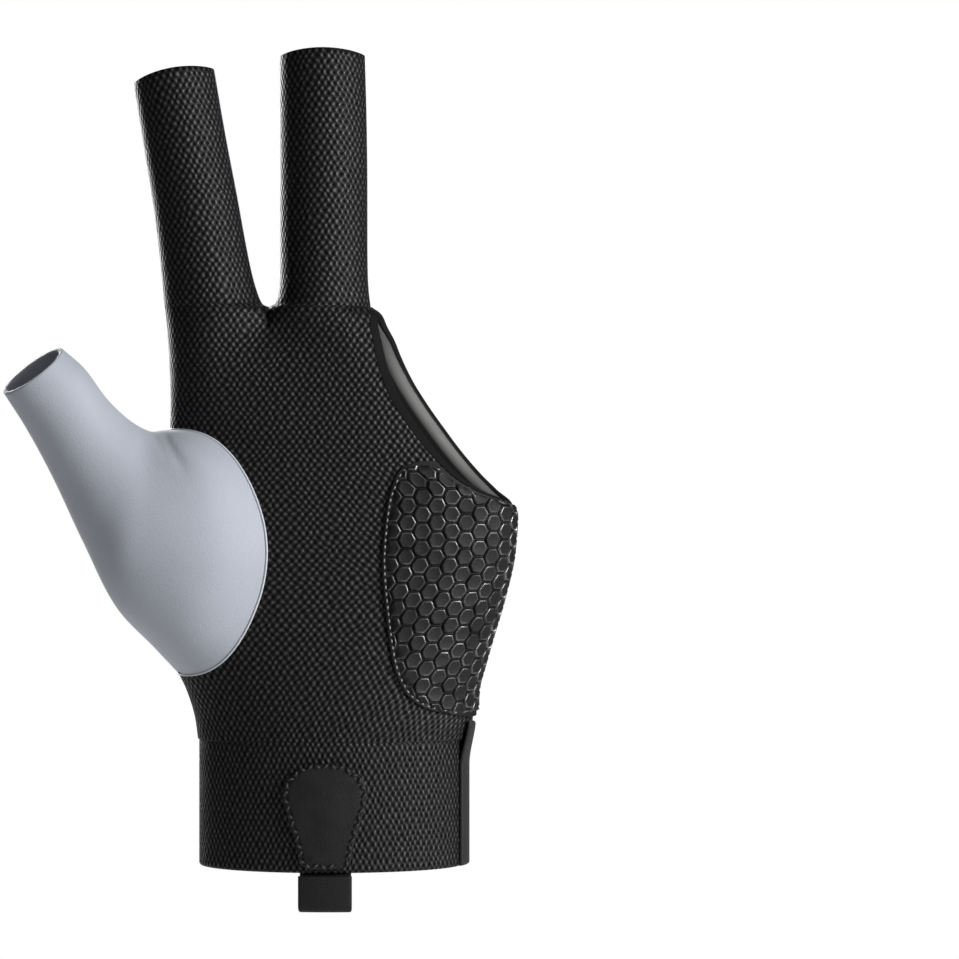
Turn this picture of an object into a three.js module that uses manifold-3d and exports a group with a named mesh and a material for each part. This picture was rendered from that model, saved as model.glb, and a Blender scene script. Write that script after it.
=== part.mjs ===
// A left-hand three-finger billiard glove, standing on its wrist opening with the fingers up.
// Units are millimetres. The palm faces -Y, the thumb points to -X and the fingers to +Z.
// The origin is the centre of the wrist opening.
import * as THREE from 'three';
import Module from 'manifold-3d';

const wasm = await Module();
wasm.setup();

// Cuff and hand
const cuff_width = 66.2;
const cuff_depth = 42;
const cuff_height = 32;
const hand_height = 107.2;
const hand_width = 90;
const hand_depth = 38;
const crotch_across = -0.174;
const tubes_from = 0.62;

// Fingers and thumb
const finger_length = 60;
const finger_depth = 21;
const tip_arch = 1.2;
const thumb_length = 60;
const thumb_width = 18.4;
const thumb_seam_height = 61;
const thumb_seam_middle = cuff_height + 0.43 * hand_height;
const thumb_seam_root = -0.4466 * hand_width;
const thumb_seam_reach = 25;
const thumb_seam_wrap = 6;
const thumb_ball_rise = 3;

// Cloth
const seam_gap = 0.3;
const mesh_wall = 1.3;
const cloth_wall = 1.3;
const cuff_wall = 1.6;
const facing_wall = 0.9;
const facing_width = 8;
const opening_lap = 8.5;
const opening_set_back = 6.3;

// Grip pad
const pad_base = 0.8;
const tile_rise = 0.8;
const tile_pitch = 4.2;
const tile_groove = 0.8;
const tile_bevel = 0.35;
const tile_columns = 14;
const tile_rows = 17;

// Pull tab, wrist strap and its binding
const patch_width = 20.4;
const patch_height = 25.8;
const patch_thickness = 1.3;
const patch_across = -0.8;
const ribbon_width = 13.2;
const ribbon_thickness = 1;
const ribbon_drop = 9.1;
const hem_inset = 1;
const ribbon_tuck = 14;
const strap_reach = 27.8;
const strap_height = 30.2;
const strap_thickness = 1.8;
const strap_round = 16.4;
const strap_fullness = 0.985;
const binding_front = 6;
const binding_back = 9.6;
const binding_thickness = 1;

// Mesh columns across one finger, and points on half of a traced outline
const columns = 8;
const trace = 64;

// Hand sections. level is a share of hand_height above the cuff. left and edge are shares of
// hand_width, lap and set_back shares of opening_lap and opening_set_back, seam and ulnar the
// side seams as shares of hand_width inward on the back, palm and back shares of hand_depth.
const hand_sections = table(
  ['level', 'left', 'edge', 'lap', 'set_back', 'seam', 'ulnar', 'palm', 'back', 'full', 'hump'],
  [
    [0.000, -0.372, 0.378, 0.00, 0.00, 0.000, 0.000, 0.545, 0.545, 2.00, 0.00],
    [0.042, -0.379, 0.392, 0.00, 0.00, 0.006, 0.004, 0.540, 0.520, 2.05, 0.00],
    [0.104, -0.401, 0.395, 0.00, 0.00, 0.020, 0.006, 0.530, 0.490, 2.10, 0.00],
    [0.165, -0.436, 0.413, 0.00, 0.00, 0.038, 0.006, 0.520, 0.465, 2.15, 0.00],
    [0.241, -0.480, 0.439, 0.00, 0.00, 0.060, 0.006, 0.505, 0.440, 2.20, 0.00],
    [0.318, -0.524, 0.466, 0.00, 0.00, 0.080, 0.006, 0.490, 0.420, 2.25, 0.00],
    [0.430, -0.549, 0.495, 0.00, 0.00, 0.094, 0.006, 0.470, 0.400, 2.30, 0.00],
    [0.537, -0.539, 0.503, 0.00, 0.00, 0.068, 0.000, 0.450, 0.385, 2.30, 0.01],
    [0.572, -0.523, 0.459, 0.50, 0.60, 0.050, 0.000, 0.440, 0.380, 2.30, 0.015],
    [0.606, -0.503, 0.417, 0.74, 0.90, 0.034, 0.000, 0.432, 0.376, 2.30, 0.02],
    [0.662, -0.473, 0.359, 0.94, 1.00, 0.014, 0.000, 0.420, 0.370, 2.30, 0.03],
    [0.718, -0.449, 0.309, 1.00, 1.00, 0.003, 0.000, 0.405, 0.364, 2.28, 0.04],
    [0.774, -0.448, 0.262, 1.00, 0.96, 0.000, 0.000, 0.390, 0.358, 2.25, 0.05],
    [0.830, -0.449, 0.221, 0.92, 0.80, 0.000, 0.000, 0.374, 0.350, 2.20, 0.07],
    [0.886, -0.452, 0.189, 0.74, 0.62, 0.000, 0.000, 0.356, 0.340, 2.15, 0.11],
    [0.924, -0.455, 0.171, 0.58, 0.50, 0.000, 0.000, 0.342, 0.330, 2.10, 0.18],
    [0.954, -0.458, 0.152, 0.38, 0.34, 0.000, 0.000, 0.330, 0.322, 2.06, 0.30],
    [0.978, -0.461, 0.139, 0.18, 0.18, 0.000, 0.000, 0.320, 0.315, 2.03, 0.48],
    [0.992, -0.463, 0.121, 0.06, 0.06, 0.000, 0.000, 0.314, 0.310, 2.01, 0.70],
    [1.000, -0.465, 0.109, 0.00, 0.00, 0.000, 0.000, 0.310, 0.306, 2.00, 1.00],
  ]);

// Levels at which the hand is sampled: its table and a few more where it turns quickly.
const row_levels = [...hand_sections.map((row) => row.level), 0.059, 0.075, 0.511, 0.545, 0.555]
  .sort((a, b) => a - b);

// Finger sections. rise is a share of finger_length above the crotch along each side, the
// sides are shares of hand_width, and depth is a share of finger_depth.
const index_sections = table(
  ['rise_left', 'left', 'rise_right', 'right', 'depth'],
  [
    [0.00, -0.465, 0.000, -0.174, 1.12],
    [0.05, -0.468, 0.065, -0.203, 1.10],
    [0.13, -0.473, 0.145, -0.219, 1.07],
    [0.25, -0.481, 0.270, -0.237, 1.04],
    [0.43, -0.497, 0.460, -0.262, 1.02],
    [0.68, -0.524, 0.720, -0.295, 1.00],
    [0.925, -0.550, 0.990, -0.326, 0.98],
  ]);
const middle_sections = table(
  ['rise_left', 'left', 'rise_right', 'right', 'depth'],
  [
    [0.00, -0.174, 0.000, 0.109, 1.12],
    [0.05, -0.152, 0.060, 0.104, 1.10],
    [0.13, -0.146, 0.140, 0.101, 1.07],
    [0.27, -0.144, 0.270, 0.100, 1.04],
    [0.48, -0.144, 0.480, 0.100, 1.02],
    [0.76, -0.144, 0.760, 0.098, 1.00],
    [1.040, -0.145, 1.045, 0.093, 0.98],
  ]);

// Thumb sections from the mouth down. left and low are the lower side of the tube, right and
// high its upper side, forward how far its middle leans to the palm, all shares of
// thumb_length from the crotch of the thumb; depth is a share of thumb_width.
const thumb_sections = table(
  ['left', 'low', 'right', 'high', 'forward', 'depth'],
  [
    [-0.637, 0.161, -0.396, 0.337, 0.285, 1.00],
    [-0.547, 0.014, -0.310, 0.260, 0.255, 1.05],
    [-0.445, -0.182, -0.215, 0.130, 0.222, 1.17],
    [-0.326, -0.445, -0.120, 0.040, 0.185, 1.38],
    [-0.186, -0.727, -0.050, 0.003, 0.150, 1.66],
  ]);
const thumb_crotch = [-0.462 * hand_width, cuff_height + 0.708 * hand_height];
const thumb_heart = [-0.235 * hand_width, 0.158 * hand_depth, thumb_seam_middle];

// Left edge of the grip pad. level and across are shares of hand_height and hand_width.
const pad_edge = table(
  ['level', 'across'],
  [
    [0.049, 0.381],
    [0.063, 0.299],
    [0.083, 0.241],
    [0.114, 0.203],
    [0.175, 0.173],
    [0.277, 0.155],
    [0.409, 0.143],
    [0.526, 0.154],
    [0.593, 0.174],
    [0.625, 0.196],
    [0.641, 0.244],
  ]);

// Pull patch outline. level is a share of patch_height, half a share of half patch_width.
const patch_outline = table(
  ['level', 'half'],
  [
    [0.000, 0.34],
    [0.030, 0.52],
    [0.080, 0.62],
    [0.180, 0.655],
    [0.340, 0.76],
    [0.520, 0.90],
    [0.700, 1.00],
    [0.820, 0.93],
    [0.910, 0.73],
    [0.965, 0.50],
    [1.000, 0.26],
  ]);

// Names the columns of a table.
function table(names, rows) {
  return rows.map((row) => Object.fromEntries(names.map((name, k) => [name, row[k]])));
}

// Smooth reading of one column against another, without overshoot between the rows.
function track(rows, from, to) {
  const x = rows.map((row) => row[from]);
  const y = rows.map((row) => row[to]);
  const slope = x.slice(1).map((value, k) => (y[k + 1] - y[k]) / (value - x[k]));
  const bend = x.map((value, k) => {
    if (k === 0) return slope[0];
    if (k === x.length - 1) return slope[k - 1];
    const product = slope[k - 1] * slope[k];
    return product <= 0 ? 0 : (2 * product) / (slope[k - 1] + slope[k]);
  });
  return (at) => {
    const place = Math.min(Math.max(at, x[0]), x[x.length - 1]);
    let k = 0;
    while (k < x.length - 2 && place > x[k + 1]) k += 1;
    const run = x[k + 1] - x[k];
    const t = (place - x[k]) / run;
    const a = (1 + 2 * t) * (1 - t) ** 2 * y[k] + t ** 2 * (3 - 2 * t) * y[k + 1];
    const b = t * (1 - t) ** 2 * bend[k] - t ** 2 * (1 - t) * bend[k + 1];
    return a + b * run;
  };
}

// Rounded profile from 0 at u = -1 through 1 to 0 at u = 1.
function dome(u, power) {
  return Math.max(0, 1 - Math.abs(u) ** power) ** (1 / power);
}

// Closed outline from the left side over the palm to the right side and home over the back.
function closedLoop(palm_half, back_half, place) {
  const points = [...palm_half, ...back_half.slice(1, -1).reverse()];
  const lengths = [0];
  for (let k = 0; k < points.length; k += 1) {
    const a = points[k];
    const b = points[(k + 1) % points.length];
    lengths.push(lengths[k] + Math.hypot(b[0] - a[0], b[1] - a[1]));
  }
  const palm_count = palm_half.length;
  return { points, lengths, palm_count, total: lengths[points.length], place };
}

// Distance along the outline at which the palm or back half crosses a given place across.
function stationAt(loop, side, across) {
  const last = loop.points.length;
  const first_k = side < 0 ? 0 : loop.palm_count - 1;
  const last_k = side < 0 ? loop.palm_count - 1 : last;
  for (let k = first_k; k < last_k; k += 1) {
    const a = loop.points[k][0];
    const b = loop.points[(k + 1) % last][0];
    if ((a - across) * (b - across) <= 0 && a !== b) {
      return loop.lengths[k] + ((across - a) / (b - a)) * (loop.lengths[k + 1] - loop.lengths[k]);
    }
  }
  return side < 0 ? loop.lengths[last_k] : loop.lengths[first_k];
}

function flatPoint(loop, station) {
  const at = ((station % loop.total) + loop.total) % loop.total;
  let low = 0;
  let high = loop.points.length;
  while (high - low > 1) {
    const mid = (low + high) >> 1;
    if (loop.lengths[mid] <= at) low = mid;
    else high = mid;
  }
  const a = loop.points[low];
  const b = loop.points[(low + 1) % loop.points.length];
  const t = (at - loop.lengths[low]) / (loop.lengths[low + 1] - loop.lengths[low]);
  return [a[0] + t * (b[0] - a[0]), a[1] + t * (b[1] - a[1])];
}

// Point on an outline at a station, moved outward by an offset within the section's plane.
function pointOn(loop, station, offset) {
  const [x, y] = flatPoint(loop, station);
  const ahead = flatPoint(loop, station + 0.5);
  const behind = flatPoint(loop, station - 0.5);
  const run = Math.hypot(ahead[0] - behind[0], ahead[1] - behind[1]);
  const normal = [(ahead[1] - behind[1]) / run, -(ahead[0] - behind[0]) / run];
  return loop.place(x + offset * normal[0], y + offset * normal[1]);
}

// Hand
const hand = {};
for (const name of Object.keys(hand_sections[0])) {
  hand[name] = track(hand_sections, 'level', name);
}

function handAt(level) {
  const left = hand.left(level) * hand_width;
  const edge = hand.edge(level) * hand_width;
  const right = edge + hand.lap(level) * opening_lap;
  const crotch = crotch_across * hand_width;
  const palm_edge = edge - hand.set_back(level) * opening_set_back;
  const seam = left + hand.seam(level) * hand_width;
  const ulnar = right - hand.ulnar(level) * hand_width;
  const z = cuff_height + level * hand_height;
  const palm = hand.palm(level) * hand_depth;
  const back = hand.back(level) * hand_depth;
  return { left, edge, right, crotch, palm_edge, seam, ulnar, z, palm, back,
    full: hand.full(level), hump: hand.hump(level), tubes: tubeShare(level) };
}

// How far a section's outer sides have taken the shape of the two finger tubes.
function tubeShare(level) {
  const t = Math.min(1, Math.max(0, (level - tubes_from) / (1 - tubes_from)));
  return t * t * (3 - 2 * t);
}

// One half of a hand section: a single oval whose outer sides turn into those of the two finger
// tubes, and whose middle sinks between them near the crotch.
function handHalf(shape, depth) {
  const middle = (shape.left + shape.right) / 2;
  const half = (shape.right - shape.left) / 2;
  const spans = [[shape.left, shape.crotch], [shape.crotch, shape.right]];
  const points = [];
  spans.forEach(([from, to], part) => {
    for (let k = part; k <= trace; k += 1) {
      const u = -Math.cos((Math.PI * k) / trace);
      const x = (from + to) / 2 + (u * (to - from)) / 2;
      const one = dome((x - middle) / half, shape.full);
      const tube = dome(u, 2);
      const outside = part === 0 ? u < 0 : u > 0;
      const broad = (1 - shape.tubes) * one + shape.tubes * (outside ? tube : 1);
      const sunk = outside ? 1 : 1 - shape.hump * (1 - tube);
      points.push([x, depth * broad * sunk]);
    }
  });
  return points;
}

function handLoop(level) {
  const shape = handAt(level);
  const place = (x, y) => new THREE.Vector3(x, y, shape.z);
  const loop = closedLoop(handHalf(shape, -shape.palm), handHalf(shape, shape.back), place);
  loop.radial = shape.seam <= shape.left + 0.01 ? loop.total : stationAt(loop, 1, shape.seam);
  const open = shape.right > shape.edge + 0.02;
  const ulnar = stationAt(loop, 1, shape.ulnar);
  loop.palm_end = open ? stationAt(loop, -1, shape.palm_edge) : ulnar - seam_gap / 2;
  loop.back_end = open ? stationAt(loop, 1, shape.edge) : ulnar + seam_gap / 2;
  loop.palm_crotch = stationAt(loop, -1, shape.crotch);
  loop.back_crotch = stationAt(loop, 1, shape.crotch);
  loop.shape = shape;
  return loop;
}

// Finger outline between two points on its sides, arched toward the tip at its middle.
function ovalLoop(left, right, depth, arch) {
  const middle = left.clone().add(right).multiplyScalar(0.5);
  const across = right.clone().sub(left);
  const half = across.length() / 2;
  across.normalize();
  const out = new THREE.Vector3(0, 1, 0);
  const up = across.clone().cross(out).normalize();
  const trail = (reach) => Array.from({ length: trace + 1 }, (unused, k) => {
    const angle = (Math.PI * k) / trace;
    return [-half * Math.cos(angle), reach * Math.sin(angle)];
  });
  const place = (x, y) => middle.clone()
    .addScaledVector(across, x)
    .addScaledVector(out, y)
    .addScaledVector(up, arch * Math.max(0, 1 - (x / half) ** 2));
  return closedLoop(trail(-depth), trail(depth), place);
}

function fingerLoops(sections) {
  const crotch_z = cuff_height + hand_height;
  const last = sections.length - 1;
  return sections.map((row, k) => {
    const left_z = crotch_z + row.rise_left * finger_length;
    const right_z = crotch_z + row.rise_right * finger_length;
    const left = new THREE.Vector3(row.left * hand_width, 0, left_z);
    const right = new THREE.Vector3(row.right * hand_width, 0, right_z);
    const depth = (row.depth * finger_depth) / 2;
    return ovalLoop(left, right, depth, tip_arch * (k / last) ** 2);
  });
}

// Evenly placed values from one to another, both ends included.
function spread(from, to, count) {
  return Array.from({ length: count + 1 }, (unused, k) => from + ((to - from) * k) / count);
}

// Solid
class Shell {
  constructor() {
    this.points = [];
    this.faces = [];
  }

  add(point) {
    this.points.push(point);
    return this.points.length - 1;
  }

  quad(a, b, c, d) {
    if (a !== b && b !== c && a !== c) this.faces.push([a, b, c]);
    if (a !== c && c !== d && a !== d) this.faces.push([a, c, d]);
  }

  solid() {
    const vertices = new Float32Array(this.points.flatMap((point) => [point.x, point.y, point.z]));
    let volume = 0;
    for (const [a, b, c] of this.faces) {
      volume += this.points[a].dot(this.points[b].clone().cross(this.points[c]));
    }
    const faces = volume < 0 ? this.faces.map(([a, b, c]) => [a, c, b]) : this.faces;
    const triangles = new Uint32Array(faces.flat());
    return new wasm.Manifold(
      new wasm.Mesh({ numProp: 3, vertProperties: vertices, triVerts: triangles }));
  }
}

// Sheet with thickness from two grids of points, outer and inner; closed when it wraps around.
function sheetShell(outer, inner, wraps) {
  const shell = new Shell();
  const a = outer.map((row) => row.map((point) => shell.add(point)));
  const b = inner.map((row) => row.map((point) => shell.add(point)));
  const rows = a.length;
  const cols = a[0].length;
  const span = wraps ? cols : cols - 1;
  for (let j = 0; j < span; j += 1) {
    const next = (j + 1) % cols;
    for (let i = 0; i < rows - 1; i += 1) {
      shell.quad(a[i][j], a[i][next], a[i + 1][next], a[i + 1][j]);
      shell.quad(b[i][j], b[i + 1][j], b[i + 1][next], b[i][next]);
    }
    shell.quad(a[0][j], b[0][j], b[0][next], a[0][next]);
    shell.quad(a[rows - 1][j], a[rows - 1][next], b[rows - 1][next], b[rows - 1][j]);
  }
  if (!wraps) {
    for (let i = 0; i < rows - 1; i += 1) {
      shell.quad(a[i][0], a[i + 1][0], b[i + 1][0], b[i][0]);
      shell.quad(a[i][span], b[i][span], b[i + 1][span], a[i + 1][span]);
    }
  }
  return shell;
}

// Sheet laid on outlines between stations, from one offset to another.
function laidSheet(loops, stationsOf, outer, inner) {
  const grid = (offset) => loops.map((loop, i) => (
    stationsOf(loop, i).map((station) => pointOn(loop, station, offset))));
  return sheetShell(grid(outer), grid(inner), false);
}

// Palm or back panel: hand rows that split into two finger rows at the crotch.
function handPanel(side, wall) {
  const gap = seam_gap / 2;
  const levels = [seam_gap / 2 / hand_height, ...row_levels.slice(1, -1)];
  const hand_rows = levels.map(handLoop);
  const index_rows = fingerLoops(index_sections);
  const middle_rows = fingerLoops(middle_sections);
  const shell = new Shell();
  const handStations = (loop) => {
    const start = loop.radial - loop.total;
    if (side < 0) {
      return [...spread(start + gap, loop.palm_crotch, columns),
        ...spread(loop.palm_crotch, loop.palm_end, columns).slice(1)];
    }
    return [...spread(loop.radial - gap, loop.back_crotch, columns),
      ...spread(loop.back_crotch, loop.back_end, columns).slice(1)];
  };
  const fingerStations = (loop) => {
    const half = loop.lengths[loop.palm_count - 1];
    if (side < 0) return spread(gap, half - gap, columns);
    return spread(loop.total - gap, half + gap, columns);
  };
  const lay = (rows, stationsOf) => rows.map((loop) => stationsOf(loop).map((station) => ({
    outer: shell.add(pointOn(loop, station, 0)),
    inner: shell.add(pointOn(loop, station, -wall)),
  })));
  const body = lay(hand_rows, handStations);
  const index = lay(index_rows, fingerStations);
  const middle = lay(middle_rows, fingerStations);
  const meet = index[0][columns].outer;
  shell.points[meet].x = crotch_across * hand_width;
  middle[0][0].outer = meet;
  const patchwork = (lower, upper) => {
    for (let j = 0; j < lower.length - 1; j += 1) {
      const [a, b, c, d] = [lower[j], lower[j + 1], upper[j + 1], upper[j]];
      shell.quad(a.outer, b.outer, c.outer, d.outer);
      shell.quad(a.inner, d.inner, c.inner, b.inner);
    }
  };
  for (const grid of [body, index, middle]) {
    for (let i = 0; i < grid.length - 1; i += 1) patchwork(grid[i], grid[i + 1]);
  }
  const top = body[body.length - 1];
  patchwork(top.slice(0, columns + 1), index[0]);
  patchwork(top.slice(columns), middle[0]);
  shell.quad(top[columns].inner, index[0][columns].inner, middle[0][0].inner, middle[0][0].inner);
  const border = [
    ...body[0],
    ...body.slice(1).map((row) => row[2 * columns]),
    ...middle.map((row) => row[columns]),
    ...middle[middle.length - 1].slice(0, columns).reverse(),
    ...middle.slice(0, -1).reverse().map((row) => row[0]),
    ...index.map((row) => row[columns]),
    ...index[index.length - 1].slice(0, columns).reverse(),
    ...index.slice(0, -1).reverse().map((row) => row[0]),
    ...body.slice(1).reverse().map((row) => row[0]),
  ];
  border.forEach((here, k) => {
    const next = border[(k + 1) % border.length];
    shell.quad(here.outer, here.inner, next.inner, next.outer);
  });
  return shell;
}

// Thumb: a tube from the oval seam on the hand out to the mouth.
function thumbSeam(angle) {
  const z = thumb_seam_middle + (thumb_seam_height / 2) * Math.cos(angle);
  const loop = handLoop((z - cuff_height) / hand_height);
  const swell = Math.abs(Math.sin(angle)) ** 0.8;
  const palm_reach = stationAt(loop, -1, loop.shape.left + 0.02 + (thumb_seam_reach
    + (thumb_seam_root - loop.shape.left)) * swell);
  const station = Math.sin(angle) >= 0 ? palm_reach : -thumb_seam_wrap * swell;
  return pointOn(loop, station, 0);
}

const thumb_columns = 28;
const thumb_angles = spread(0, 2 * Math.PI, thumb_columns).slice(0, -1);

function thumbRows() {
  const [crotch_x, crotch_z] = thumb_crotch;
  const tube = thumb_sections.map((row, k) => {
    const low = new THREE.Vector3(crotch_x + row.left * thumb_length,
      -row.forward * thumb_length, crotch_z + row.low * thumb_length);
    const high = new THREE.Vector3(crotch_x + row.right * thumb_length,
      -row.forward * thumb_length, crotch_z + row.high * thumb_length);
    const middle = low.clone().add(high).multiplyScalar(0.5);
    const across = high.clone().sub(low).multiplyScalar(0.5);
    const along = new THREE.Vector3(-across.z, 0, across.x).normalize();
    const tilt = THREE.MathUtils.degToRad(17 - 2 * k);
    const front = new THREE.Vector3(0, -Math.cos(tilt), 0).addScaledVector(along, -Math.sin(tilt));
    front.multiplyScalar((row.depth * thumb_width) / 2);
    return thumb_angles.map((angle) => middle.clone()
      .addScaledVector(across, Math.cos(angle))
      .addScaledVector(front, Math.sin(angle)));
  }).reverse();
  const seam = thumb_angles.map(thumbSeam);
  const swell = (angle) => Math.max(0, Math.sin(angle)) ** 0.7;
  const between = seam.map((point, j) => point.clone().lerp(tube[0][j], 0.42)
    .add(new THREE.Vector3(0, -thumb_ball_rise * swell(thumb_angles[j]), 0)));
  return smoothRows([seam, between, ...tube]);
}

// Rows evenly placed on smooth curves through the given rows.
function smoothRows(rows) {
  const curves = rows[0].map((unused, j) => (
    new THREE.CatmullRomCurve3(rows.map((row) => row[j]), false, 'centripetal')));
  const count = rows.length + 2;
  return Array.from({ length: count + 1 }, (unused, k) => (
    curves.map((curve) => curve.getPoint(k / count))));
}

function thumbShell() {
  const outer = thumbRows();
  const heart = new THREE.Vector3(...thumb_heart);
  const last = outer.length - 1;
  const inner = outer.map((row, i) => row.map((point, j) => {
    if (i === 0) {
      const inward = heart.clone().sub(point).normalize();
      return point.clone().addScaledVector(inward, cloth_wall * 1.15);
    }
    const around = row[(j + 1) % row.length].clone()
      .sub(row[(j + row.length - 1) % row.length]);
    const along = outer[Math.min(i + 1, last)][j].clone().sub(outer[i - 1][j]);
    const normal = around.cross(along).normalize();
    const middle = row.reduce((sum, each) => sum.add(each), new THREE.Vector3())
      .multiplyScalar(1 / row.length);
    if (normal.dot(middle.sub(point)) > 0) normal.negate();
    return point.clone().addScaledVector(normal, -cloth_wall);
  }));
  return sheetShell(outer, inner, true);
}

// Cone through the thumb seam, wider by the seam gap, that opens the palm panel.
function thumbCutter() {
  const heart = new THREE.Vector3(...thumb_heart);
  const seam = thumb_angles.map(thumbSeam);
  const middle = seam.reduce((sum, each) => sum.add(each), new THREE.Vector3())
    .multiplyScalar(1 / seam.length);
  const wide = seam.map((point, j) => {
    const along = seam[(j + 1) % seam.length].clone()
      .sub(seam[(j + seam.length - 1) % seam.length]);
    const out = along.cross(point.clone().sub(heart)).normalize();
    if (out.dot(point.clone().sub(middle)) < 0) out.negate();
    return point.clone().addScaledVector(out, seam_gap * 1.3);
  });
  const shell = new Shell();
  const ring = (scale) => wide.map((point) => (
    shell.add(heart.clone().lerp(point, scale))));
  const near = ring(0.7);
  const far = ring(1.3);
  const near_middle = shell.add(heart.clone().lerp(middle, 0.7));
  const far_middle = shell.add(heart.clone().lerp(middle, 2.6));
  near.forEach((here, j) => {
    const next = (j + 1) % near.length;
    shell.quad(here, near[next], far[next], far[j]);
    shell.faces.push([near_middle, near[next], here]);
    shell.faces.push([far_middle, far[j], far[next]]);
  });
  return shell;
}

// Cuff
function cuffLoop(z) {
  const half = cuff_width / 2;
  const left = new THREE.Vector3(-half, 0, z);
  const right = new THREE.Vector3(half, 0, z);
  return ovalLoop(left, right, cuff_depth / 2, 0);
}

function cuffHalf(side) {
  const loops = spread(0, cuff_height - seam_gap / 2, 3).map(cuffLoop);
  const gap = seam_gap / 2;
  return laidSheet(loops, (loop) => {
    const half = loop.lengths[loop.palm_count - 1];
    return side < 0 ? spread(gap, half - gap, 20) : spread(half + gap, loop.total - gap, 20);
  }, 0, -cuff_wall);
}

// Facing inside the edge of the opening for the ring and little fingers, on the back panel
function openingFacing() {
  const levels = spread(0.577, 0.954, 16);
  const outer = -cloth_wall - seam_gap;
  return laidSheet(levels.map(handLoop), (loop) => {
    const reach = facing_width * Math.min(1, 0.3 + loop.shape.right - loop.shape.edge);
    return spread(loop.back_end + 0.2, loop.back_end + reach, 3);
  }, outer, outer - facing_wall);
}

// Grip pad on the heel of the palm: a base sheet under a carpet of raised hexagons
const padLeft = track(pad_edge, 'level', 'across');

function padSpan(loop, level) {
  const from = stationAt(loop, -1, padLeft(level) * hand_width);
  const open = loop.shape.right > loop.shape.edge + 0.02;
  return [from, Math.max(from + 0.6, loop.palm_end - (open ? 2 : 0.8))];
}

// Pad places are a distance from the ulnar side of the palm and a height.
function padStation(loop, inset) {
  return loop.lengths[loop.palm_count - 1] - inset + 2;
}

function insidePad([inset, z]) {
  const level = (z - cuff_height) / hand_height;
  if (level < pad_edge[0].level + 0.004 || level > 0.633) return false;
  const loop = handLoop(level);
  const [from, to] = padSpan(loop, level);
  const station = padStation(loop, inset);
  return station > from + 0.5 && station < to - 0.3;
}

function hexCorners(inset, z, radius) {
  return spread(0, 2 * Math.PI, 6).slice(0, -1).map((angle) => [
    inset + radius * Math.cos(angle), z + radius * Math.sin(angle)]);
}

function padPoint([inset, z], offset) {
  const loop = handLoop((z - cuff_height) / hand_height);
  return pointOn(loop, padStation(loop, inset), offset);
}

function hexCarpet() {
  const shell = new Shell();
  const radius = tile_pitch / Math.sqrt(3);
  const step = tile_pitch * Math.sqrt(0.75);
  const first_z = cuff_height + pad_edge[0].level * hand_height;
  const floor = seam_gap + pad_base;
  const shared = new Map();
  const sides = new Map();
  const corner = (place) => {
    const key = place.map((value) => Math.round(value * 50)).join();
    if (!shared.has(key)) {
      shared.set(key, {
        key,
        groove: shell.add(padPoint(place, floor + tile_rise * 0.15)),
        under: shell.add(padPoint(place, seam_gap + pad_base * 0.3)),
      });
    }
    return shared.get(key);
  };
  for (let column = 0; column < tile_columns; column += 1) {
    for (let row = 0; row < tile_rows; row += 1) {
      const inset = column * step + radius;
      const z = first_z + (row + (column % 2) / 2) * tile_pitch;
      const places = hexCorners(inset, z, radius);
      if (places.every(insidePad)) {
        const low = places.map(corner);
        const face = hexCorners(inset, z, radius - tile_groove / 2 - tile_bevel);
        const high = face.map((place) => shell.add(padPoint(place, floor + tile_rise)));
        low.forEach((here, j) => {
          const next = low[(j + 1) % 6];
          shell.quad(here.groove, next.groove, high[(j + 1) % 6], high[j]);
          sides.set(`${here.key}>${next.key}`, [here, next]);
        });
        for (let j = 1; j < 5; j += 1) {
          shell.faces.push([high[0], high[j], high[j + 1]]);
          shell.faces.push([low[0].under, low[j + 1].under, low[j].under]);
        }
      }
    }
  }
  for (const [here, next] of sides.values()) {
    if (!sides.has(`${next.key}>${here.key}`)) {
      shell.quad(here.under, next.under, next.groove, here.groove);
    }
  }
  return shell;
}

function gripPad() {
  const edge_levels = pad_edge.map((row) => row.level);
  const first = edge_levels[0];
  const last = edge_levels[edge_levels.length - 1] - 0.002;
  const levels = [first, edge_levels[1], ...row_levels, edge_levels[9], last]
    .filter((level) => level >= first && level <= last).sort((a, b) => a - b);
  const base = laidSheet(levels.map(handLoop), (loop, i) => (
    spread(...padSpan(loop, levels[i]), 14)), seam_gap + pad_base, seam_gap);
  return base.solid().add(hexCarpet().solid());
}

// Pull tab: a leather patch on the palm side of the cuff and a folded ribbon below it
function pullPatch() {
  const loops = patch_outline.map((row) => cuffLoop(hem_inset + row.level * patch_height));
  return laidSheet(loops, (loop, i) => {
    const half = (patch_outline[i].half * patch_width) / 2;
    return spread(stationAt(loop, -1, patch_across - half),
      stationAt(loop, -1, patch_across + half), 6);
  }, seam_gap + patch_thickness, seam_gap);
}

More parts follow.
